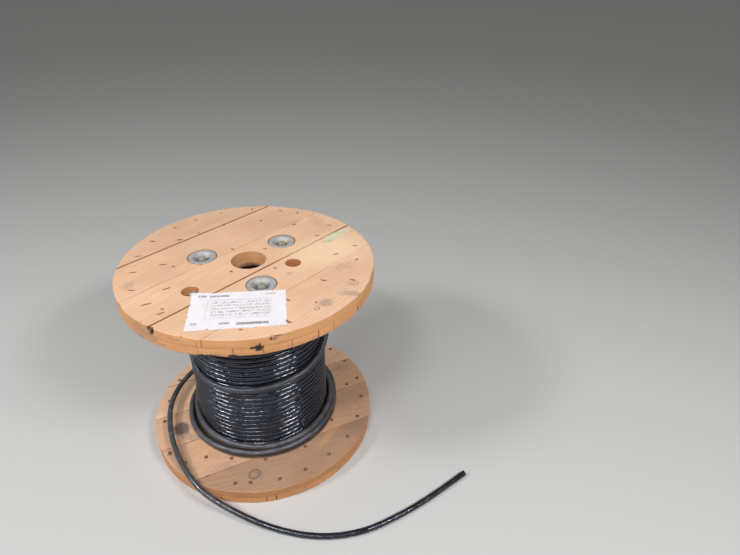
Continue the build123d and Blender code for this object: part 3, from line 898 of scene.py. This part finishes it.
# The faces of each flange, and which way they look.
outsides = {"top": (drum["topFace"], 1), "bottom": (drum["bottomFace"], -1)}
insides = {"top": (drum["topInside"], -1), "bottom": (drum["bottomInside"], 1)}
for plyName, ply in plies.items():
    side = "top" if plyName.startswith("top") else "bottom"
    base, top = (drum[face] / mm for face in ply["faces"])
    joint = drum[f"{side}Split"] / mm
    radius = drum["flangeRadius"] / mm
    turned = math.radians(ply["direction"])
    facesUp = plyName in ("top_outer_board", "bottom_inner_board")
    flares = (0, boards["flare"]) if facesUp else (boards["flare"], 0)
    gaps = [(middle, min(width, boards["widestGap"]) / 2, width) for middle, width in ply["seams"]]
    lows = [(-radius, 0.0)] + [(middle + half, width) for middle, half, width in gaps]
    highs = [(middle - half, width) for middle, half, width in gaps] + [(radius, 0.0)]
    planks = zip(lows, highs, boards["drops"], ply["pith"], ply["tonesAndLighting"])
    for number, ((low, lowGap), (high, highGap), drop, pith, toneAndLighting) in enumerate(planks, start=1):
        node = f"{plyName}_{number}"
        mesh = makeMesh(f"{node}_sawn", *sawnBoard(low, high, base, top, turned, joint, drop if facesUp else 0))
        ownNails = [nail for nail in nails[side]
                    if low + boards["nailMargin"] < acrossOf(*nail[:2], turned) < high - boards["nailMargin"]]
        cuts = [boreCutter(drum["arborRadius"] / mm, base, top, (0, 0), *flares, 96)]
        cuts.append(boreCutter(drum["pinRadius"] / mm, base, top, drum["drivePlace"], *flares))
        if side == "top":
            cuts.append(boreCutter(drum["pinRadius"] / mm, base, top, drum["startPlace"], *flares))
        if "outer" in plyName:
            seat = fromFace(boards["seat"], *outsides[side])
            cuts += [turnedSurface(seat, polar(*place), 64) for place in drum["boltPlaces"]]
        else:
            pit = fromFace(boards["pit"], *insides[side])
            cuts += [boreCutter(boards["boltBore"], base, top, place, steps=32) for place in drum["boltPlaces"]]
            cuts += [turnedSurface(pit, (nail[0] * mm, nail[1] * mm), 14) for nail in ownNails if hasHead(nail)]
        blades = []
        for start, end, width, lowest, highest in splits:
            if low < acrossOf(*end, turned) < high and lowest < top and highest > base:
                blades.append(splitBlade(start, end, width, lowest, highest))
        mesh = withoutHoles(mesh, cuts, blades)
        narrow = "narrow" if facesUp else "below"
        edges = [(edge, *boards["lines"]["wide" if gap > boards["widestGap"] else narrow])
                 for edge, gap in ((low, lowGap), (high, highGap)) if gap]
        material = woodMaterial(
            f"{side}_plank_wood_{node}", ply["direction"], pith, toneAndLighting, edges, [(joint, *boards["lines"]["joint"])],
            marksOf(plyName, base, top, low, high, turned, ownNails),
            woodLook["shadedGapRing"] if plyName == "bottom_inner_board" else None,
        )
        addPiece(f"{node}_planed", mesh, material, "flange_wood", node)
    print(plyName, "planks made")

# Steel.
steelLook = {
    # colour, roughness, metallic, how fine its crystals are, how much grime
    "galvanised": ((0.485, 0.475, 0.48, 1), 0.55, 0.25, 260.0, 0.2),
    "bolt": ((0.546, 0.496, 0.403, 1), 0.45, 0.5, 600.0, 0.5),
    "nail": ((0.24, 0.125, 0.07, 1), 0.6, 0.2, 900.0, 0.6),
    "grime": (0.13, 0.11, 0.085, 1),
    # the colour laid over each washer's dish, a yellowish residue in one and a darker grey in two, and its reach
    "dishTints": [(0.32, 0.29, 0.14, 1), (0.21, 0.225, 0.26, 1), (0.165, 0.17, 0.18, 1)],
    "tintReach": 20 * mm,
    "relief": (0.2, 0.0003),
}


def steelMaterial(name, kind, tint=None, centre=None):
    # flat crystals of slightly different greys, with dull grime in blotches; the tint lies over them in a disc
    # round its centre, whose border is the reach + noise
    material, tree, shader = newMaterial(name)
    colour, roughness, metallic, spangle, grime = steelLook[kind]
    place = objectPlace(tree)
    crystal = addNode(tree, "ShaderNodeTexVoronoi", {"Vector": place, "Scale": spangle}).outputs["Color"]
    grey = addNode(tree, "ShaderNodeSeparateColor", {0: crystal}).outputs[0]
    shade = between(tree, grey, 0.0, 1.0, 0.86, 1.10)
    shades = addNode(tree, "ShaderNodeCombineColor", {0: shade, 1: shade, 2: shade}).outputs[0]
    toned = mixColour(tree, 1.0, colour, shades, "MULTIPLY")
    if tint is not None:
        reach = steelLook["tintReach"]
        away = addNode(tree, "ShaderNodeVectorMath", {0: place, 1: centre}, operation="DISTANCE").outputs["Value"]
        ragged = sums(tree, "MULTIPLY_ADD", noise(tree, place, 140.0), 0.5 * reach, away)
        toned = mixColour(tree, between(tree, ragged, 1.3 * reach, 0.8 * reach, 0.0, 0.85), toned, tint)
    dirt = between(tree, noise(tree, place, 120.0, 4.0, 0.6), 0.45, 0.7, 0.0, grime)
    tree.links.new(mixColour(tree, dirt, toned, steelLook["grime"]), shader.inputs["Base Color"])
    shader.inputs["Metallic"].default_value = metallic
    tree.links.new(sums(tree, "ADD", roughness, product(tree, dirt, 0.3)), shader.inputs["Roughness"])
    dented(tree, shader, *steelLook["relief"], noise(tree, place, 500.0))
    return material


# Dished washers: a pressed sheet with rounded bends, turned about each bolt. Sizes in mm.
washer = {
    "rim": 27.5, "mouth": 19.0, "floor": 10.5, "hole": 5.25, "sheet": 2.0, "recess": 0.3, "depth": 11.0, "bend": 2.2,
    "edge": (0.5, 0.3),     # how far the rim's upper and lower edge are rounded
}
bolt = {
    "radius": 4.75, "flats": 14.3, "headHeight": 6.3, "nutHeight": 8.3, "nutBore": 4.95, "beyondNut": 1.6,
    "threadLength": 25.5, "threadDepth": 0.42, "pitch": 1.6, "point": [(4.1, -0.5), (3.4, 0.0), (0.0, 0.05)],
}


def bentLine(corners, bend, steps=4):
    # a line through the corners with each inner corner cut by a parabola that starts bend before it
    corners = [np.array(corner, float) for corner in corners]
    points = [corners[0]]
    t = np.linspace(0, 1, steps)[:, None]
    for before, corner, after in zip(corners, corners[1:], corners[2:]):
        toBefore, toAfter = np.linalg.norm(before - corner), np.linalg.norm(after - corner)
        reach = min(bend, 0.45 * toBefore, 0.45 * toAfter)
        first = corner + (before - corner) / toBefore * reach
        last = corner + (after - corner) / toAfter * reach
        points += list((1 - t) ** 2 * first + 2 * t * (1 - t) * corner + t**2 * last)
    points.append(corners[-1])
    return np.array(points)


def washerSurface(place, face, outward):
    # from the hole along the floor, the cone and the rim, round the edge and back a sheet's thickness below
    hole, floorRadius, mouth, rim, sheet = (washer[key] for key in ("hole", "floor", "mouth", "rim", "sheet"))
    top = -washer["recess"]
    floor = top - washer["depth"]
    above, below = washer["edge"]
    upper = bentLine([(hole, floor), (floorRadius, floor), (mouth, top), (rim - above, top)], washer["bend"])
    lower = bentLine([
        (rim - below, top - sheet), (mouth + sheet, top - sheet), (floorRadius + sheet, floor - sheet),
        (hole, floor - sheet),
    ], washer["bend"])
    profile = np.vstack((upper, [(rim, top - above), (rim, top - sheet + below)], lower, upper[:1]))
    return turnedSurface(fromFace(profile, face, outward), polar(*place), 72)


def hexSurface(place, base, height, bore):
    # a hexagon: radius = flats / 2 / cos(angle from the nearest flat's middle), no more than a cone that cuts
    # the corners at both ends; it closes on its bore, or on the axis
    half = bolt["flats"] / 2
    angle = np.arange(96) * 2 * np.pi / 96
    hexRadius = half / np.cos((angle + np.pi / 6) % (np.pi / 3) - np.pi / 6)
    cone = [(0.0, half - 0.1), (0.8, half + 1.3), (height - 0.8, half + 1.3), (height, half - 0.1)]
    rings = [ringAt(np.minimum(hexRadius, limit), angle, base + rise) for rise, limit in cone]
    rings = [ringAt(bore, angle, base), *rings, ringAt(bore, angle, base + height)]
    if bore > 0:
        rings.append(rings[0])
    return stackedRings(rings, polar(*place))


def boltSurface(place, headTop, shankTop):
    # a shank whose end carries a thread: radius = the shank's - depth x saw(height / pitch - angle / turn)
    angle = np.arange(48) * 2 * np.pi / 48
    threadBase = shankTop - bolt["threadLength"]
    rings = [ringAt(0.0, angle, headTop)]
    rings += [ringAt(bolt["radius"], angle, height) for height in (headTop, threadBase - 0.5)]
    for height in np.arange(threadBase, shankTop - 0.7, bolt["pitch"] / 6):
        wave = np.abs(((height / bolt["pitch"] - angle / (2 * np.pi)) % 1.0) - 0.5) * 2
        rings.append(ringAt(bolt["radius"] - bolt["threadDepth"] * wave, angle, height))
    rings += [ringAt(radius, angle, shankTop + rise) for radius, rise in bolt["point"]]
    return stackedRings(rings, polar(*place))


boltSteel = steelMaterial("bolt_steel_dull", "bolt")
nailSteel = steelMaterial("nail_steel_dark", "nail")
headTop = washer["recess"] + washer["depth"]
nutBase = drum["topFace"] / mm - washer["recess"] - washer["depth"]
for number, (place, tint) in enumerate(zip(drum["boltPlaces"], steelLook["dishTints"]), start=1):
    dishFloor = (*polar(*place), drum["topFace"] - washer["depth"] * mm)
    galvanised = steelMaterial(f"galvanised_washer_steel_{number}", "galvanised", tint, dishFloor)
    for side, (face, outward) in outsides.items():
        node = f"{side}_dished_washer_{number}"
        addPiece(f"{node}_pressed", washerSurface(place, face, outward), galvanised, "galvanised_steel", node)
    nut = hexSurface(place, nutBase, bolt["nutHeight"], bolt["nutBore"])
    addPiece(f"tie_nut_{number}_chamfered", nut, boltSteel, "bolt_steel", f"tie_nut_{number}")
    shank = boltSurface(place, headTop, nutBase + bolt["nutHeight"] + bolt["beyondNut"])
    head = hexSurface(place, headTop - bolt["headHeight"], bolt["headHeight"], 0.0)
    addPiece(f"tie_bolt_{number}_threaded", joined([shank, head]), boltSteel, "bolt_steel", f"tie_bolt_{number}")
print("washers, nuts and bolts made")


def nailHead(nail, face, outward):
    # a low dome on a short shank, its top sunk below the face
    radius = nails["headRadius"]
    dome = [
        (0, 0.35), (radius * 0.5, 0.3), (radius * 0.85, 0.1), (radius, -0.15), (radius, -0.9), (1.6, -1.0),
        (1.6, -1.6), (0, -1.6),
    ]
    profile = fromFace([(away, height - nails["sunk"]) for away, height in dome], face, outward)
    return turnedSurface(profile, (nail[0] * mm, nail[1] * mm), 14)


def bentPoint(x, y, angle, length, side):
    # a nail's end bent over flat: a tube along a short line that rises a little in its middle, with a radius
    # that is 0 at both ends and smaller towards the point
    steps, sides = 8, 8
    face, outward = outsides[side]
    t = np.linspace(0, 1, steps)[:, None]
    radius = nails["pointRadius"] * np.sqrt(np.maximum(0, 1 - (2 * t - 1) ** 6)) * (1 - 0.45 * t)
    turn = np.arange(sides) * 2 * np.pi / sides
    a = math.radians(angle)
    along = (t - 0.5) * length
    sideways = radius * np.cos(turn)
    height = face / mm + outward * (0.25 * np.sin(np.pi * t) - nails["pointsSunk"][side])
    tube = np.stack((
        x + along * math.cos(a) - sideways * math.sin(a),
        y + along * math.sin(a) + sideways * math.cos(a),
        height + 0.8 * radius * np.sin(turn),
    ), 2)
    return tube.reshape(-1, 3) * mm, quadsOf(steps, sides, aroundColumns=True)


heads = [nailHead(nail, *insides[side]) for side in ("bottom", "top") for nail in nails[side] if hasHead(nail)]
addPiece("flange_nail_heads", joined(heads), nailSteel, "bolt_steel")
bent = [bentPoint(*nail, "top") for nail in nails["top"]]
for number, (x, y) in enumerate(nails["bottom"]):
    bent.append(bentPoint(x, y, nails["bottomStep"] * number, nails["bottomLength"], "bottom"))
addPiece("flange_nail_points", joined(bent), nailSteel, "bolt_steel")
print("nails made")

# Core staves keep their CAD shape; their tone is lighter, painted light inside the arbor, where little light reaches.
coreWood = woodMaterial("core_stave_wood", 0.0, (0.0, -50.0, 0.02, math.pi / 2), (1.05, 1.0, 0.95))
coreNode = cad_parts["core_staves"]
coreNode.data.materials.clear()
coreNode.data.materials.append(coreWood)

# Paper sheet and the remnant of a sticker on the top face, in mm.
paper = {
    "corners": [(-146, -20), (-24, -136), (-94, -216), (-219, -102)],    # from above
    "thickness": 0.25,
    "above": 0.27,          # middle height of its waves over the face
    "lift": 1.6,            # of its corners
    # nicks in the border: side (0 to 3, from the first corner round), share along it, depth and half width
    "nicks": [
        (3, 0.35, 4, 1.6), (3, 0.68, 3, 1.2), (1, 0.45, 4, 1.5), (0, 0.22, 2, 2.0), (2, 0.78, 5, 2.0),
        (2, 0.3, 2, 3.0), (1, 0.9, 3, 4.0),
    ],
    # rules and bars of the form: middle and half size along the sheet's two sides, in shares of them, strength
    "bars": [
        (0.52, 0.47, 0.33, 0.003, 0.3), (0.52, 0.73, 0.33, 0.003, 0.3), (0.52, 0.21, 0.33, 0.003, 0.3),
        (0.19, 0.47, 0.002, 0.26, 0.3), (0.85, 0.47, 0.002, 0.26, 0.3), (0.36, 0.47, 0.002, 0.26, 0.3),
        (0.12, 0.10, 0.04, 0.022, 0.8), (0.30, 0.11, 0.10, 0.024, 0.8), (0.84, 0.09, 0.05, 0.018, 0.6),
        (0.68, 0.87, 0.16, 0.030, 0.9), (0.40, 0.85, 0.05, 0.024, 0.8), (0.10, 0.83, 0.03, 0.03, 0.5),
    ],
    "table": (0.54, 0.46, 0.31, 0.25),      # middle and half size of the part filled with rows
    "rows": 12.0,
    "roughness": 0.6,
    "relief": (0.15, 0.0004),
    "colour": (0.85, 0.82, 0.86, 1),
    "ink": (0.26, 0.24, 0.26, 1),
    "soil": (0.45, 0.36, 0.27, 1),
}
sticker = {
    "fromX": 150, "length": 84, "middleY": -62, "bow": 3, "halfWidth": 13.5,
    "plankEdge": -48.6,     # y of the seam, which it doesn't cross
    "thickness": 0.12,
    "sunk": 0.65,           # its underside stands in the plank, which lies a little lower
    "colour": (0.70, 0.67, 0.46, 1),
}


def closedSheet(x, y, low, high):
    # two grids, one over the other, and the strip between their borders
    rows, columns = x.shape
    border = np.concatenate((
        np.arange(columns), columns * np.arange(1, rows) + columns - 1,
        (rows - 1) * columns + np.arange(columns - 2, -1, -1), columns * np.arange(rows - 2, 0, -1),
    ))
    following = np.roll(border, -1)
    strip = np.stack((border, following, following + x.size, border + x.size), 1)
    faces = np.vstack((quadsOf(rows, columns), quadsOf(rows, columns, x.size), strip))
    return np.vstack([np.stack((x, y, z), 2).reshape(-1, 3) for z in (high, low)]) * mm, faces


def paperSurface():
    # a bilinear sheet between the corners: its border is pulled inwards by bells of the distance along it,
    # its height is a few slow waves, and its corners curl up
    u, v = np.meshgrid(np.linspace(0, 1, 97), np.linspace(0, 1, 65), indexing="ij")
    a, b, c, d = (np.array(corner, float) for corner in paper["corners"])
    long, short = np.linalg.norm(b - a), np.linalg.norm(d - a)
    # for each side: share along it, distance from it, its length and the sheet's size across it, way inwards
    sides = [
        (u, v, long, short, (0, 1)), (v, 1 - u, short, long, (-1, 0)),
        (1 - u, 1 - v, long, short, (0, -1)), (1 - v, u, short, long, (1, 0)),
    ]
    inU, inV = u.copy(), v.copy()
    for side, share, depth, halfWidth in paper["nicks"]:
        run, toSide, size, depthSize, (wayU, wayV) = sides[side]
        bell = depth / depthSize * np.exp(-((run - share) * size / halfWidth) ** 2)
        bell *= np.clip(1 - toSide * depthSize / 6, 0, 1)
        inU += wayU * bell
        inV += wayV * bell
    ragged = 0.35 * np.sin(19 * u + 5 * v) * (np.minimum(v, 1 - v) < 0.01)
    ragged += 0.35 * np.sin(23 * v + 2) * (np.minimum(u, 1 - u) < 0.01)
    x, y = (
        (1 - inU) * (1 - inV) * a[i] + inU * (1 - inV) * b[i] + inU * inV * c[i] + (1 - inU) * inV * d[i] + ragged
        for i in (0, 1)
    )
    wave = 0.12 * np.sin(7 * u + 2 * v) * np.sin(5 * v + 1) + 0.06 * np.sin(17 * u + 9 * v)
    curl = np.maximum(0, 1 - 5 * np.hypot(u, v)) + 0.6 * np.maximum(0, 1 - 6 * np.hypot(1 - u, 1 - v))
    curl += 0.4 * np.maximum(0, 1 - 7 * np.hypot(u, 1 - v))
    z = drum["topFace"] / mm + paper["above"] + wave + paper["lift"] * curl
    return closedSheet(x, y, z, z + paper["thickness"])


def stickerSurface():
    # a torn leaf along a bowed line: its two edges stand off the line by waves that die out at the ends
    u, v = np.meshgrid(np.linspace(0, 1, 81), np.linspace(0, 1, 15), indexing="ij")
    swell = sticker["halfWidth"] * np.sqrt(np.maximum(0.015, np.sin(np.pi * np.clip(u * 0.93 + 0.04, 0, 1))))
    lowEdge = -swell * (0.86 + 0.12 * np.sin(29 * u) + 0.07 * np.sin(71 * u + 1))
    highEdge = swell * (0.86 + 0.10 * np.sin(23 * u + 2) + 0.06 * np.sin(61 * u))
    x = sticker["fromX"] + sticker["length"] * u
    y = sticker["middleY"] + sticker["bow"] * np.sin(np.pi * u) + (1 - v) * lowEdge + v * highEdge
    z = drum["topFace"] / mm + 0.12 + 0.03 * np.sin(40 * u)
    return closedSheet(x, np.minimum(y, sticker["plankEdge"]), z - sticker["sunk"], z + sticker["thickness"])


def ruledLines(tree, place):
    # a generic ruled form on the sheet: u and v run along its sides, each rule or bar is 1 - step of the distance
    # from its middle, and rows of blots fill the table
    a, b, _, d = (np.array(corner, float) for corner in paper["corners"])
    long, short = np.linalg.norm(b - a), np.linalg.norm(d - a)
    onSheet = mapped(
        tree, place, "TEXTURE", Location=(a[0] * mm, a[1] * mm, 0), Scale=(long * mm, -short * mm, 1),
        Rotation=(0, 0, math.atan2(b[1] - a[1], b[0] - a[0])),
    )
    u, v = partsOf(tree, onSheet)[:2]
    bars = None
    for middleU, middleV, halfU, halfV, strength in paper["bars"]:
        inU = between(tree, apart(tree, u, middleU), halfU + 0.004, halfU)
        inV = between(tree, apart(tree, v, middleV), halfV + 0.004, halfV)
        share = product(tree, inU, inV, strength)
        bars = share if bars is None else sums(tree, "MAXIMUM", bars, share)
    inRow = apart(tree, sums(tree, "FRACT", product(tree, v, paper["rows"])), 0.5)
    middleU, middleV, halfU, halfV = paper["table"]
    rows = product(
        tree, between(tree, inRow, 0.36, 0.24), between(tree, apart(tree, u, middleU), halfU, halfU - 0.02),
        between(tree, apart(tree, v, middleV), halfV, halfV - 0.02),
    )
    blots = noise(tree, stretched(tree, onSheet, (70.0, 1.3 * paper["rows"], 0)), 1.0, 2.0, 0.6)
    rows = product(tree, rows, between(tree, blots, 0.46, 0.54, 0.0, 0.62))
    return sums(tree, "MAXIMUM", rows, product(tree, bars, between(tree, blots, 0.36, 0.5, 0.35, 1.0)))


def paperMaterial(name, colour, soil, ruled=False):
    # paper with soiled blotches and, where asked, the form
    material, tree, shader = newMaterial(name)
    place = objectPlace(tree)
    blotch = between(tree, noise(tree, place, 35.0, 5.0, 0.6), 0.4, 0.75, 0.0, soil)
    toned = mixColour(tree, blotch, colour, paper["soil"])
    if ruled:
        toned = mixColour(tree, ruledLines(tree, place), toned, paper["ink"])
    tree.links.new(toned, shader.inputs["Base Color"])
    shader.inputs["Roughness"].default_value = paper["roughness"]
    dented(tree, shader, *paper["relief"], noise(tree, place, 90.0))
    return material


addPiece("paper_label", paperSurface(), paperMaterial("label_paper", paper["colour"], 0.15, True), "flange_wood")
addPiece("sticker_remnant", stickerSurface(), paperMaterial("sticker_paper", sticker["colour"], 0.7), "flange_wood")
print("paper made")

cableLook = {
    "tight": (0.006, 0.007, 0.012, 1),
    "dusty": (0.105, 0.098, 0.104, 1),
    "crossing": (0.045, 0.045, 0.048, 1),
    "tail": (0.014, 0.014, 0.015, 1),
    # the raised part of the tail is lighter: a painted reflection of the bright surroundings
    "raisedTailReflection": (0.108, 0.101, 0.102, 1),
    "rubbed": (0.21, 0.20, 0.205, 1),
    "sheen": (0.73, 0.83, 1.0, 1),
    "sheenLevel": 1.0,
    "tightRoughness": (0.09, 0.22),
    "dullRoughness": 0.34,
    "tailGloss": 0.20,              # how much less rough the tail is
    "sideRoughness": 0.20,          # more on the winding's left, which shines less
    "sideAngles": (-0.66, -0.86),   # where that begins and is full, radians from the front
    "sideWithin": (0.178, 0.172),   # and at which distance from the axis
    "slackFrom": (0.1482, 0.1492),  # distance from the axis where the tight turns end and the slack ones begin
    "fatTurns": (0.0032, 0.069, 0.078, 0.180, 0.205),   # further out by that, between those heights
    "tailFrom": (0.178, 0.195),     # distance from the axis
    "scuffScale": 55.0,
    "rubScale": 150.0,
    "fineScale": 420.0,
    "dustyHeights": (0.07, 0.12),
    "tailHeights": (0.012, 0.045),
    "front": math.radians(234),     # direction that the angle is counted from
    "dentScale": (10.0, 190.0, 60.0),       # for the angle, the height and the distance
    "dentDepth": 0.0015,
}


def cableMaterial():
    # black jacket: wet and bright on the tight turns, scuffed and dusty on the slack ones, told apart by their
    # distance from the drum's axis; the tail is darker again, and lighter where it is raised off the floor, a painted
    # reflection. The dents are noise of (angle, height, distance), drawn out along the turns, with the angle's seam
    # at the back.
    material, tree, shader = newMaterial("cable_jacket_black")
    place = objectPlace(tree)
    away = lengthOf(tree, stretched(tree, place, (1, 1, 0)))
    turnedX, turnedY, height = partsOf(tree, mapped(tree, place, "POINT", Rotation=(0, 0, -cableLook["front"])))
    angle = sums(tree, "ARCTAN2", turnedY, turnedX)
    further, *fatHeights = cableLook["fatTurns"]
    fat = product(tree, between(tree, height, *fatHeights[:2]), between(tree, height, *fatHeights[:1:-1]))
    slack = between(tree, sums(tree, "MULTIPLY_ADD", fat, -further, away), *cableLook["slackFrom"])
    scuff = between(tree, noise(tree, place, cableLook["scuffScale"], 4.0, 0.6), 0.35, 0.7)
    dull = product(tree, slack, sums(tree, "MULTIPLY_ADD", scuff, 0.45, 0.55))
    farOut = between(tree, away, *cableLook["tailFrom"])
    loose = mixColour(
        tree, between(tree, height, *cableLook["dustyHeights"]), cableLook["dusty"], cableLook["crossing"],
    )
    rubbed = between(tree, noise(tree, place, cableLook["rubScale"], 4.0, 0.65), 0.56, 0.68, 0.0, 0.5)
    loose = mixColour(tree, rubbed, loose, cableLook["rubbed"])
    # the tail: dark on the floor, lighter above it for a painted reflection
    tail = mixColour(
        tree, between(tree, height, *cableLook["tailHeights"]), cableLook["tail"], cableLook["raisedTailReflection"],
    )
    loose = mixColour(tree, farOut, loose, tail)
    tree.links.new(mixColour(tree, dull, cableLook["tight"], loose), shader.inputs["Base Color"])
    rough = sums(
        tree, "MULTIPLY_ADD", dull, cableLook["dullRoughness"],
        between(tree, scuff, 0.0, 1.0, *cableLook["tightRoughness"]),
    )
    rough = sums(tree, "MULTIPLY_ADD", farOut, -cableLook["tailGloss"], rough)
    onSide = product(
        tree, between(tree, angle, *cableLook["sideAngles"]), between(tree, away, *cableLook["sideWithin"]),
    )
    rough = sums(tree, "MULTIPLY_ADD", onSide, cableLook["sideRoughness"], rough)
    tree.links.new(rough, shader.inputs["Roughness"])
    shader.inputs["Specular Tint"].default_value = cableLook["sheen"]
    shader.inputs["Specular IOR Level"].default_value = cableLook["sheenLevel"]
    unrolled = addNode(tree, "ShaderNodeCombineXYZ", {0: angle, 1: height, 2: away}).outputs[0]
    coarse = noise(tree, stretched(tree, unrolled, cableLook["dentScale"]), 1.0, 3.0, 0.5)
    fine = noise(tree, place, cableLook["fineScale"], 2.0, 0.5)
    dents = sums(tree, "MULTIPLY_ADD", fine, 0.08, coarse)
    dented(tree, shader, 1.0, cableLook["dentDepth"], dents)
    return material


def plainMaterial(name, colour, roughness, metallic):
    # one colour, in fine specks darker
    material, tree, shader = newMaterial(name)
    specks = between(tree, noise(tree, objectPlace(tree), 900.0), 0.35, 0.65, 0.0, 0.5)
    toned = mixColour(tree, specks, colour, timesColour(colour, (0.6, 0.6, 0.6)))
    tree.links.new(toned, shader.inputs["Base Color"])
    shader.inputs["Roughness"].default_value = roughness
    shader.inputs["Metallic"].default_value = metallic
    return material


jacket = cableMaterial()
cableCurve.materials.append(jacket)

# The cut end: insulation ring and bright copper, standing a little out of the jacket. Radius, how far it stands
# in and out (mm), and colour, roughness, metallic.
cutEnds = {
    "cable_copper_end": (3.1, 2.0, 0.7, "copper_cut", (0.80, 0.42, 0.25, 1), 0.3, 1.0),
    "cable_insulation_end": (4.4, 2.0, 0.4, "insulation_cut", (0.35, 0.34, 0.33, 1), 0.5, 0.0),
}
endPoint, beforeEnd = tailRoute[-1], tailRoute[-2]
endAhead = (endPoint - beforeEnd) / np.linalg.norm(endPoint - beforeEnd)


def plugProfile(radius, low, top, bevelIn, bevelDown):
    # a round plug with a bevelled upper edge
    return np.array([(0.0, low), (radius, low), (radius, top - bevelDown), (radius - bevelIn, top), (0.0, top)])


def endPlug(radius, inward, outward):
    # a short round plug along the cable's last direction
    points, faces = turnedSurface(plugProfile(radius, -inward, outward, 0.2, 0.15), (0, 0), 24)
    side = np.array((-endAhead[1], endAhead[0], 0.0))
    up = np.cross(endAhead, side)
    return (endPoint + points @ np.array((side, up, endAhead))) * mm, faces


copperEnd, insulationEnd = (
    addPiece(name, endPlug(radius, inward, outward), plainMaterial(*look), "cable_jacket")
    for name, (radius, inward, outward, *look) in cutEnds.items()
)

# The inner end, stripped, stands up in the start hole, in a loose wrap of pale tape. Sizes in mm.
startEnd = {
    "place": (-140.5, -5.5), "low": 400.5, "jacketTop": 424.5, "coreTop": 426.5, "radius": 5.6, "coreRadius": 3.4,
}
tape = {
    "place": (-143.0, -8.0),
    "radius": 9.6,
    # its walls from ring to ring: how far out of the radius, height, share of the upper border's waves
    "walls": [
        (0.0, 414.0, 0.0), (0.0, 421.0, 0.5), (0.0, 426.0, 1.0), (-0.7, 426.3, 1.0), (-1.2, 421.0, 0.5),
        (-1.2, 414.0, 0.0), (0.0, 414.0, 0.0),
    ],
}


def tapeSurface():
    # a loose wrap round the inner end: two walls whose radius is middle + two waves of the angle, higher on
    # one side
    angle = np.linspace(0, 2 * np.pi, 48, endpoint=False)
    radius = tape["radius"] + 1.6 * np.sin(2 * angle + 0.6) + 0.7 * np.sin(5 * angle)
    wave = 2.2 * np.sin(angle + 2.2) + 0.9 * np.sin(4 * angle)
    rings = [ringAt(radius + out, angle, low + rise * wave) for out, low, rise in tape["walls"]]
    return stackedRings(rings, (tape["place"][0] * mm, tape["place"][1] * mm))


stubPlace = (startEnd["place"][0] * mm, startEnd["place"][1] * mm)
stub = plugProfile(startEnd["radius"], startEnd["low"], startEnd["jacketTop"], 0.5, 0.5)
stubCore = plugProfile(startEnd["coreRadius"], startEnd["jacketTop"] - 2, startEnd["coreTop"], 0.4, 0.4)
addPiece("cable_inner_end", turnedSurface(stub * mm, stubPlace, 32), jacket, "cable_jacket")
insulation = plainMaterial("inner_end_insulation", (0.62, 0.62, 0.60, 1), 0.45, 0.0)
addPiece("cable_inner_end_core", turnedSurface(stubCore * mm, stubPlace, 32), insulation, "cable_jacket")
paleTape = plainMaterial("inner_end_tape", (0.46, 0.50, 0.46, 1), 0.35, 0.0)
addPiece("cable_inner_end_tape", tapeSurface(), paleTape, "cable_jacket")
print("cable finished")

# Floor, world and lamps.
studio = {
    "floorColour": (0.60, 0.60, 0.595, 1),
    "floorRoughness": 0.8,
    "floorReach": 60.0,
    "floorHeight": -0.0002,
    "worldColour": (1.0, 0.99, 0.97, 1),
    "worldStrength": 0.14,
    "sunStrength": 0.27,
    "sunAngle": 70,
    "sunPlace": (176, 60),
    "lamps": [
        # azimuth and elevation in degrees, distance, width, height (m), power (W)
        (155, 44, 2.6, 0.52, 0.40, 26.5),
        (272, 43, 2.6, 0.72, 0.32, 30.5),
        (200, 56, 2.8, 0.58, 0.20, 15),
        (215, 47, 2.8, 2.60, 0.08, 10),
    ],
    "aim": (0.0, 0.0, 0.22),
}
floorMaterial, _, floorShader = newMaterial("floor_pale")
floorShader.inputs["Base Color"].default_value = studio["floorColour"]
floorShader.inputs["Roughness"].default_value = studio["floorRoughness"]
floorMesh = bpy.data.meshes.new("studio_floor")
corners = [(x * studio["floorReach"], y * studio["floorReach"], studio["floorHeight"])
           for x, y in ((-1, -1), (1, -1), (1, 1), (-1, 1))]
floorMesh.from_pydata(corners, [], [(0, 1, 2, 3)])
floorMesh.materials.append(floorMaterial)
floorPiece = newObject("studio_floor", floorMesh)

world = bpy.data.worlds.new("studio_world")
scene.world = world
world.use_nodes = True
background = world.node_tree.nodes["Background"]
background.inputs["Color"].default_value = studio["worldColour"]
background.inputs["Strength"].default_value = studio["worldStrength"]


def newLight(name, kind, power, azimuth, elevation, distance=0.0):
    # a light that shines at the aim from that direction
    data = bpy.data.lights.new(name, kind)
    data.energy = power
    light = newObject(name, data)
    a, e = math.radians(azimuth), math.radians(elevation)
    back = Vector((math.cos(a) * math.cos(e), math.sin(a) * math.cos(e), math.sin(e)))
    light.location = Vector(studio["aim"]) + back * distance
    light.rotation_mode = "QUATERNION"
    light.rotation_quaternion = back.to_track_quat("Z", "Y")
    return data


sun = newLight("studio_sun", "SUN", studio["sunStrength"], *studio["sunPlace"])
sun.angle = math.radians(studio["sunAngle"])
for number, (azimuth, elevation, distance, width, height, power) in enumerate(studio["lamps"], start=1):
    lamp = newLight(f"studio_lamp_{number}", "AREA", power, azimuth, elevation, distance)
    lamp.shape = "RECTANGLE"
    lamp.size, lamp.size_y = width, height
scene.view_settings.view_transform = "Standard"
print("studio lit")
